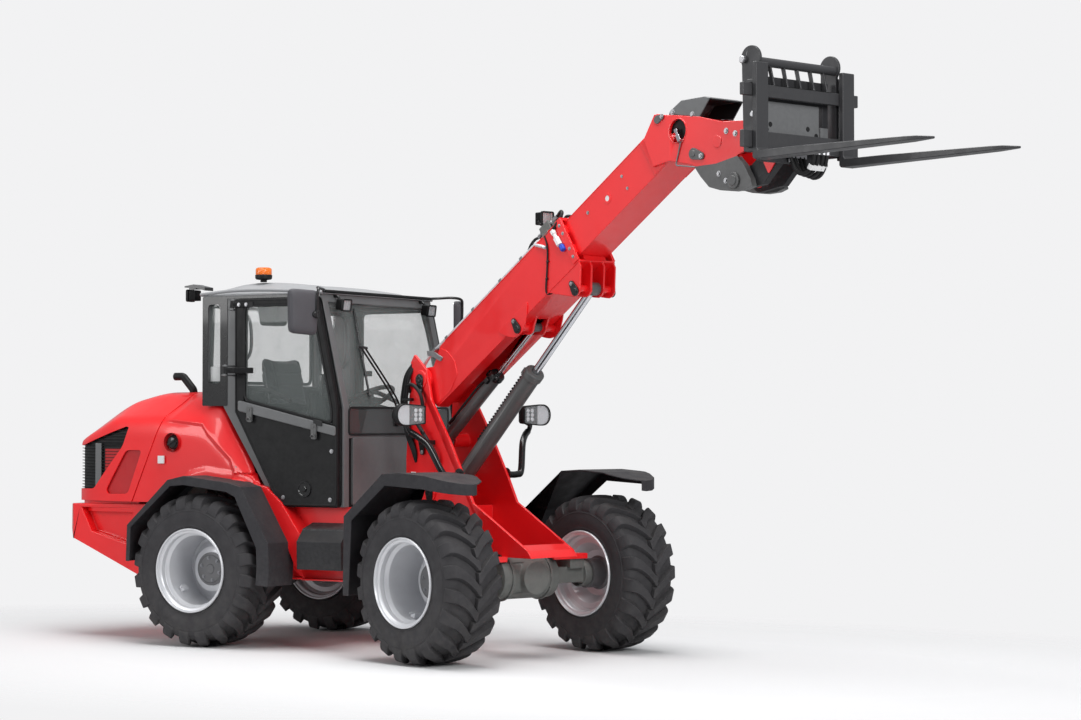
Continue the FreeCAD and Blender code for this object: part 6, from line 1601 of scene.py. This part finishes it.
# %%
plate = [block((3.6402, 3.6480), (-0.275, 0.200), (3.050, 3.300)),
         block((3.646, 3.666), (-0.285, 0.215), (3.040, 3.092)),
         block((3.6402, 3.655), (0.205, 0.270), (3.060, 3.180))]
piece("hitch_plate", plate, "grey", "tilt_frame", FRONT, bevel=0.003)
spots = []
for y, z in ((-0.205, 3.170), (0.105, 3.165), (-0.235, 3.140), (0.175, 3.130)):
    spots.append(boss([(0.0001, 0.003), (0.013, 0.003), (0.015, 0.0), (0.0001, 0.0)], 24, (3.648, y, z), "z",
                      -math.pi / 2))
piece("hitch_plugs", spots, "rubber", "tilt_frame", FRONT)
knobs, warm = [], []
for s in (-1, 1):
    knobs += [puck(3.575, s * 0.351, 3.530, 0.021, 0.014, s, 0.005),
              puck(3.640, s * 0.337, 3.218, 0.017, 0.012, s, 0.004)]
    warm.append(prism(rounded_outline([(3.478, 3.022), (3.600, 3.010), (3.600, 2.968), (3.545, 2.905)],
                                      0.010),
                      *sorted((s * 0.106, s * 0.114))))
piece("carriage_knobs", knobs, "steel", "tilt_frame", FRONT)
piece("hitch_gussets", warm, "red", "tilt_frame", FRONT, bevel=0.002)
dark = []
for s in (-1, 1):
    dark.append(puck(3.592, s * 0.3372, 3.378, 0.012, 0.0012, s, 0.0005))
    dark.append(puck(3.310, s * 0.107, 2.880, 0.040, 0.004, s))
piece("carriage_marks", dark, "rubber", "tilt_frame", FRONT)
seams = [pipe([(3.672, s * 0.3385, 3.03), (3.672, s * 0.3385, 3.25), (3.672, s * 0.3385, 3.47)], 0.004, 8)
         for s in (-1, 1)]
seams += [pipe([(3.655, s * 0.326, 3.541), (3.681, s * 0.326, 3.515), (3.655, s * 0.326, 3.489),
                (3.629, s * 0.326, 3.515), (3.655, s * 0.326, 3.541)], 0.004, 8) for s in (-1, 1)]
piece("carriage_seams", seams, "fork", "tilt_frame", FRONT)


def at_front(points):
    """Points of the front frame, in the object's frame."""
    return np.asarray(points, dtype=float) @ FRONT[:3, :3].T + FRONT[:3, 3]


def hose(name, points, radius, look, body, stands_for=()):
    """A free hose: one open spline with the route's points as its control points."""
    curve = bpy.data.curves.new(name, "CURVE")
    curve.dimensions, curve.bevel_depth, curve.bevel_resolution = "3D", radius, 4
    curve.use_fill_caps, curve.resolution_u = True, 16
    spline = curve.splines.new("NURBS")
    spline.points.add(len(points) - 1)
    for knot, point in zip(spline.points, points):
        knot.co = (*point, 1.0)
    spline.order_u, spline.use_endpoint_u = 3, True
    obj = bpy.data.objects.new(name, curve)
    bpy.context.scene.collection.objects.link(obj)
    dressed(obj, look, body, stands_for)
    return obj


for index, y in enumerate((-0.052, -0.020, 0.020, 0.052)):
    drop = 0.006 * index
    route = at_front([(3.655, y, 3.010), (3.690, y, 2.900 - drop), (3.790, y, 2.890 - drop),
                      (3.840, y, 2.960), (3.845, y, 3.030)])
    hose(f"tool_hose_{index + 1}", route, 0.012, "rubber", "tilt_frame", "tool_hoses")
ends = [block((3.640, 3.670), (-0.075, 0.075), (2.990, 3.030)),
        block((3.700, 3.860), (-0.075, 0.075), (3.024, 3.050))]
for y in (-0.052, -0.020, 0.020, 0.052):
    ends.append(fitting((3.655, y, 3.000), (3.660, y, 2.968), 0.014))
    ends.append(fitting((3.845, y, 3.035), (3.844, y, 2.995), 0.014))
piece("hose_blocks", ends, "steel", "tilt_frame", FRONT, bevel=0.002)
sleeve = swept(at_front([(3.808, 0, 2.915), (3.822, 0, 2.940)]), rounded_outline(
    [(-0.068, -0.016), (0.068, -0.016), (0.068, 0.016), (-0.068, 0.016)], 0.012))
label = piece("hose_tag", [sleeve], "white", "tilt_frame", np.eye(4))
print("carriage and hoses:", len(bpy.data.meshes), "meshes so far")

# %% [markdown]
# Tower pins, clipped lines on the tower's sides, and the lift cylinder's guard strip.

# %%
discs, caps, heads, lines, clips = [], [], [], [], []
for s in (-1, 1):
    out = lambda a, b: sorted((s * a, s * b))
    for (x, z), big in (((0.500, 1.770), 0.060), ((0.520, 1.370), 0.046), ((0.600, 1.035), 0.058)):
        discs.append(puck(x, s * 0.1945, z, big, 0.010, s))
        caps.append(prism(capsule((x, z), (x + 0.010, z - 0.075), big * 0.62, 0.018), *out(0.204, 0.212)))
        caps.append(puck(x, s * 0.211, z, big * 0.36, 0.005, s))
        heads += bolts([(x + 0.010, z - 0.075)], s * 0.212, (0, s, 0), 0.010)
    for k in range(3):
        lines.append(pipe([(0.412 + 0.010 * k, s * (0.180 - 0.012 * k), 1.885),
                           (0.360 + 0.020 * k, s * 0.208, 1.800),
                           (0.332 + 0.024 * k, s * 0.214, 1.690), (0.322 + 0.024 * k, s * 0.212, 1.600),
                           (0.362 + 0.020 * k, s * 0.210, 1.430), (0.430 + 0.012 * k, s * 0.206, 1.300),
                           (0.450, s * 0.194, 1.230)], 0.0105))
    lines.append(pipe([(0.387, s * 0.196, 1.690), (0.402, s * 0.222, 1.727), (0.440, s * 0.226, 1.738),
                       (0.488, s * 0.226, 1.717), (0.532, s * 0.224, 1.672), (0.540, s * 0.215, 1.615),
                       (0.525, s * 0.196, 1.570)], 0.012))
    lines.append(pipe([(0.440, s * 0.196, 1.560), (0.475, s * 0.226, 1.520), (0.560, s * 0.232, 1.430),
                       (0.665, s * 0.228, 1.315), (0.700, s * 0.216, 1.245), (0.690, s * 0.196, 1.195)],
                      0.014))
    for x, z in ((0.350, 1.640), (0.400, 1.395)):
        clips.append(block((x - 0.018, x + 0.075), out(0.194, 0.226), (z - 0.010, z + 0.010)))
    clips.append(block((0.600, 0.650), out(0.194, 0.244), (1.345, 1.375)))
    clips.append(puck(0.575, s * 0.236, 1.425, 0.016, 0.012, s))
piece("tower_discs", discs, "red", "front_frame", FRONT, bevel=0.001)
piece("tower_pins", caps, "gloss_black", "front_frame", FRONT, bevel=0.002)
piece("tower_bolts", heads, "steel", "front_frame", FRONT, bevel=0.001)
piece("tower_lines", lines, "rubber", "front_frame", FRONT)
piece("tower_clips", clips, "gloss_black", "front_frame", FRONT, bevel=0.003)
panel = [block((0.400, 0.450), (-0.1975, -0.1945), (1.105, 1.165))]
piece("tower_tag", panel, "white", "front_frame", FRONT, bevel=0.0006)


def along_cylinder(foot, eye):
    """Frame with x along a cylinder from its foot pin and z square to it, upwards."""
    run = np.array(eye, float) - np.array(foot, float)
    return FRONT @ shift(foot[0], 0, foot[1]) @ turn("y", -math.atan2(run[1], run[0]))


lift = along_cylinder((0.600, 1.035), (1.946, 2.316))
guard = [block((0.420, 1.080), (-0.016, 0.016), (0.052, 0.066))]
guard += [block((0.430 + 0.026 * k, 0.443 + 0.026 * k), (-0.019, 0.019), (0.064, 0.073)) for k in range(25)]
guard.append(pipe([(0.120, 0.030, 0.062), (0.400, 0.030, 0.062), (0.900, 0.030, 0.062),
                   (1.060, 0.018, 0.066)], 0.008))
piece("lift_guard", guard, "rubber", "lift_barrel", lift, bevel=0.002)
collar = lathe([(0.063, -0.050), (0.0655, -0.046), (0.0655, -0.004), (0.060, 0.004), (0.040, 0.006),
                (0.028, 0.004)], 60)
ports = [placed(collar, shift(1.123, 0, 0) @ turn("z", -math.pi / 2)),
         block((1.035, 1.085), (-0.020, 0.020), (0.055, 0.082)),
         block((0.100, 0.150), (-0.022, 0.022), (0.052, 0.084))]
piece("lift_collar", ports, "cylinder", "lift_barrel", lift, bevel=0.003)
level = along_cylinder((0.520, 1.370), (0.5 + 0.940 * math.cos(0.57596) + 0.226 * math.sin(0.57596),
                                        1.77 + 0.940 * math.sin(0.57596) - 0.226 * math.cos(0.57596)))
collar = lathe([(0.048, -0.040), (0.0505, -0.036), (0.0505, -0.004), (0.044, 0.004), (0.026, 0.005),
                (0.018, 0.004)], 50)
ports = [placed(collar, shift(0.683, 0, 0) @ turn("z", -math.pi / 2)),
         block((0.600, 0.650), (-0.018, 0.018), (0.040, 0.066)),
         block((0.110, 0.160), (-0.018, 0.018), (0.040, 0.066)),
         block((0.600, 0.640), (-0.064, -0.036), (-0.016, 0.016))]
piece("level_collar", ports, "gloss_black", "level_barrel", level, bevel=0.003)
tubes = [pipe([(0.150, -0.030, 0.040), (0.300, -0.046, 0.030), (0.520, -0.046, 0.030),
               (0.620, -0.050, 0.010)], 0.008)]
piece("level_lines", tubes, "rubber", "level_barrel", level)
print("tower and cylinders:", len(bpy.data.meshes), "meshes so far")

# %% [markdown]
# ## Floor, lights and camera
#
# A pale studio: the surroundings light everything softly, a large key light stands ahead of the
# machine on the camera's side and a second one hangs above it. The floor fades out into the
# background round the machine, so only its soft shadow is left.

# %%
BACKDROP = linear(242, 242, 243)
AIM_YAW, AIM_PITCH = 0.5271, 0.0232
CAMERA_AT = (8.2162, -13.7017, 1.5165)
FOCAL = 83.72


def surroundings():
    """White to the camera, a soft pale light to everything else."""
    world = bpy.data.worlds.new("studio")
    bpy.context.scene.world = world
    world.use_nodes = True
    nodes, links = world.node_tree.nodes, world.node_tree.links
    nodes.clear()
    seen, lit = nodes.new("ShaderNodeBackground"), nodes.new("ShaderNodeBackground")
    seen.inputs[0].default_value, seen.inputs[1].default_value = BACKDROP, 1.0
    lit.inputs[0].default_value, lit.inputs[1].default_value = linear(246, 248, 252), SKY
    path, mix = nodes.new("ShaderNodeLightPath"), nodes.new("ShaderNodeMixShader")
    links.new(path.outputs["Is Camera Ray"], mix.inputs[0])
    links.new(lit.outputs[0], mix.inputs[1])
    links.new(seen.outputs[0], mix.inputs[2])
    links.new(mix.outputs[0], nodes.new("ShaderNodeOutputWorld").inputs[0])


def floor():
    """Matt floor that turns transparent away from the machine."""
    bpy.ops.mesh.primitive_grid_add(x_subdivisions=4, y_subdivisions=4, size=26, location=(0, 0, -0.001))
    sheet = bpy.context.object
    sheet.name = "studio_floor"
    g = Graph("studio_floor")
    far = g.node("VectorMath", {0: g.node("VectorMath", {0: g.where, 1: (0.16, 0.30, 0.0)},
                                          operation="MULTIPLY")}, out=1, operation="LENGTH")
    g.set(Base_Color=(FLOOR, FLOOR, FLOOR * 1.005, 1), Roughness=1.0, Specular_IOR_Level=0.0,
          Alpha=g.between(far, 0.55, 1.1, 1.0, 0.0))
    sheet.data.materials.append(g.material)


def lamp(name, at, towards, size, power, colour=(1, 1, 1)):
    """Soft rectangular light aimed at a point."""
    data = bpy.data.lights.new(name, "AREA")
    data.shape, data.size, data.size_y = "RECTANGLE", size[0], size[1]
    data.energy, data.color = power, colour
    obj = bpy.data.objects.new(name, data)
    bpy.context.scene.collection.objects.link(obj)
    obj.location = at
    obj.rotation_euler = (Vector(towards) - Vector(at)).to_track_quat("-Z", "Y").to_euler()
    return obj


SKY, FLOOR = 0.44, 0.68
surroundings()
floor()
lamp("overhead", (-0.3, -0.6, 9.0), (0, 0, 0), (9, 5), 820)
lamp("key", (8.5, -5.0, 6.0), (0.4, 0, 1.4), (4, 4), 560)
lamp("side", (-7.5, -9.0, 4.5), (-0.6, 0, 1.3), (5, 4), 340)

data = bpy.data.cameras.new("camera")
camera = bpy.data.objects.new("camera", data)
bpy.context.scene.collection.objects.link(camera)
data.lens, data.sensor_width, data.clip_end = FOCAL, 36, 200
camera.location = CAMERA_AT
aim = Vector((-math.sin(AIM_YAW), math.cos(AIM_YAW), math.tan(AIM_PITCH)))
camera.rotation_euler = aim.to_track_quat("-Z", "Y").to_euler()
bpy.context.scene.camera = camera
bpy.context.scene.view_settings.view_transform = "Standard"
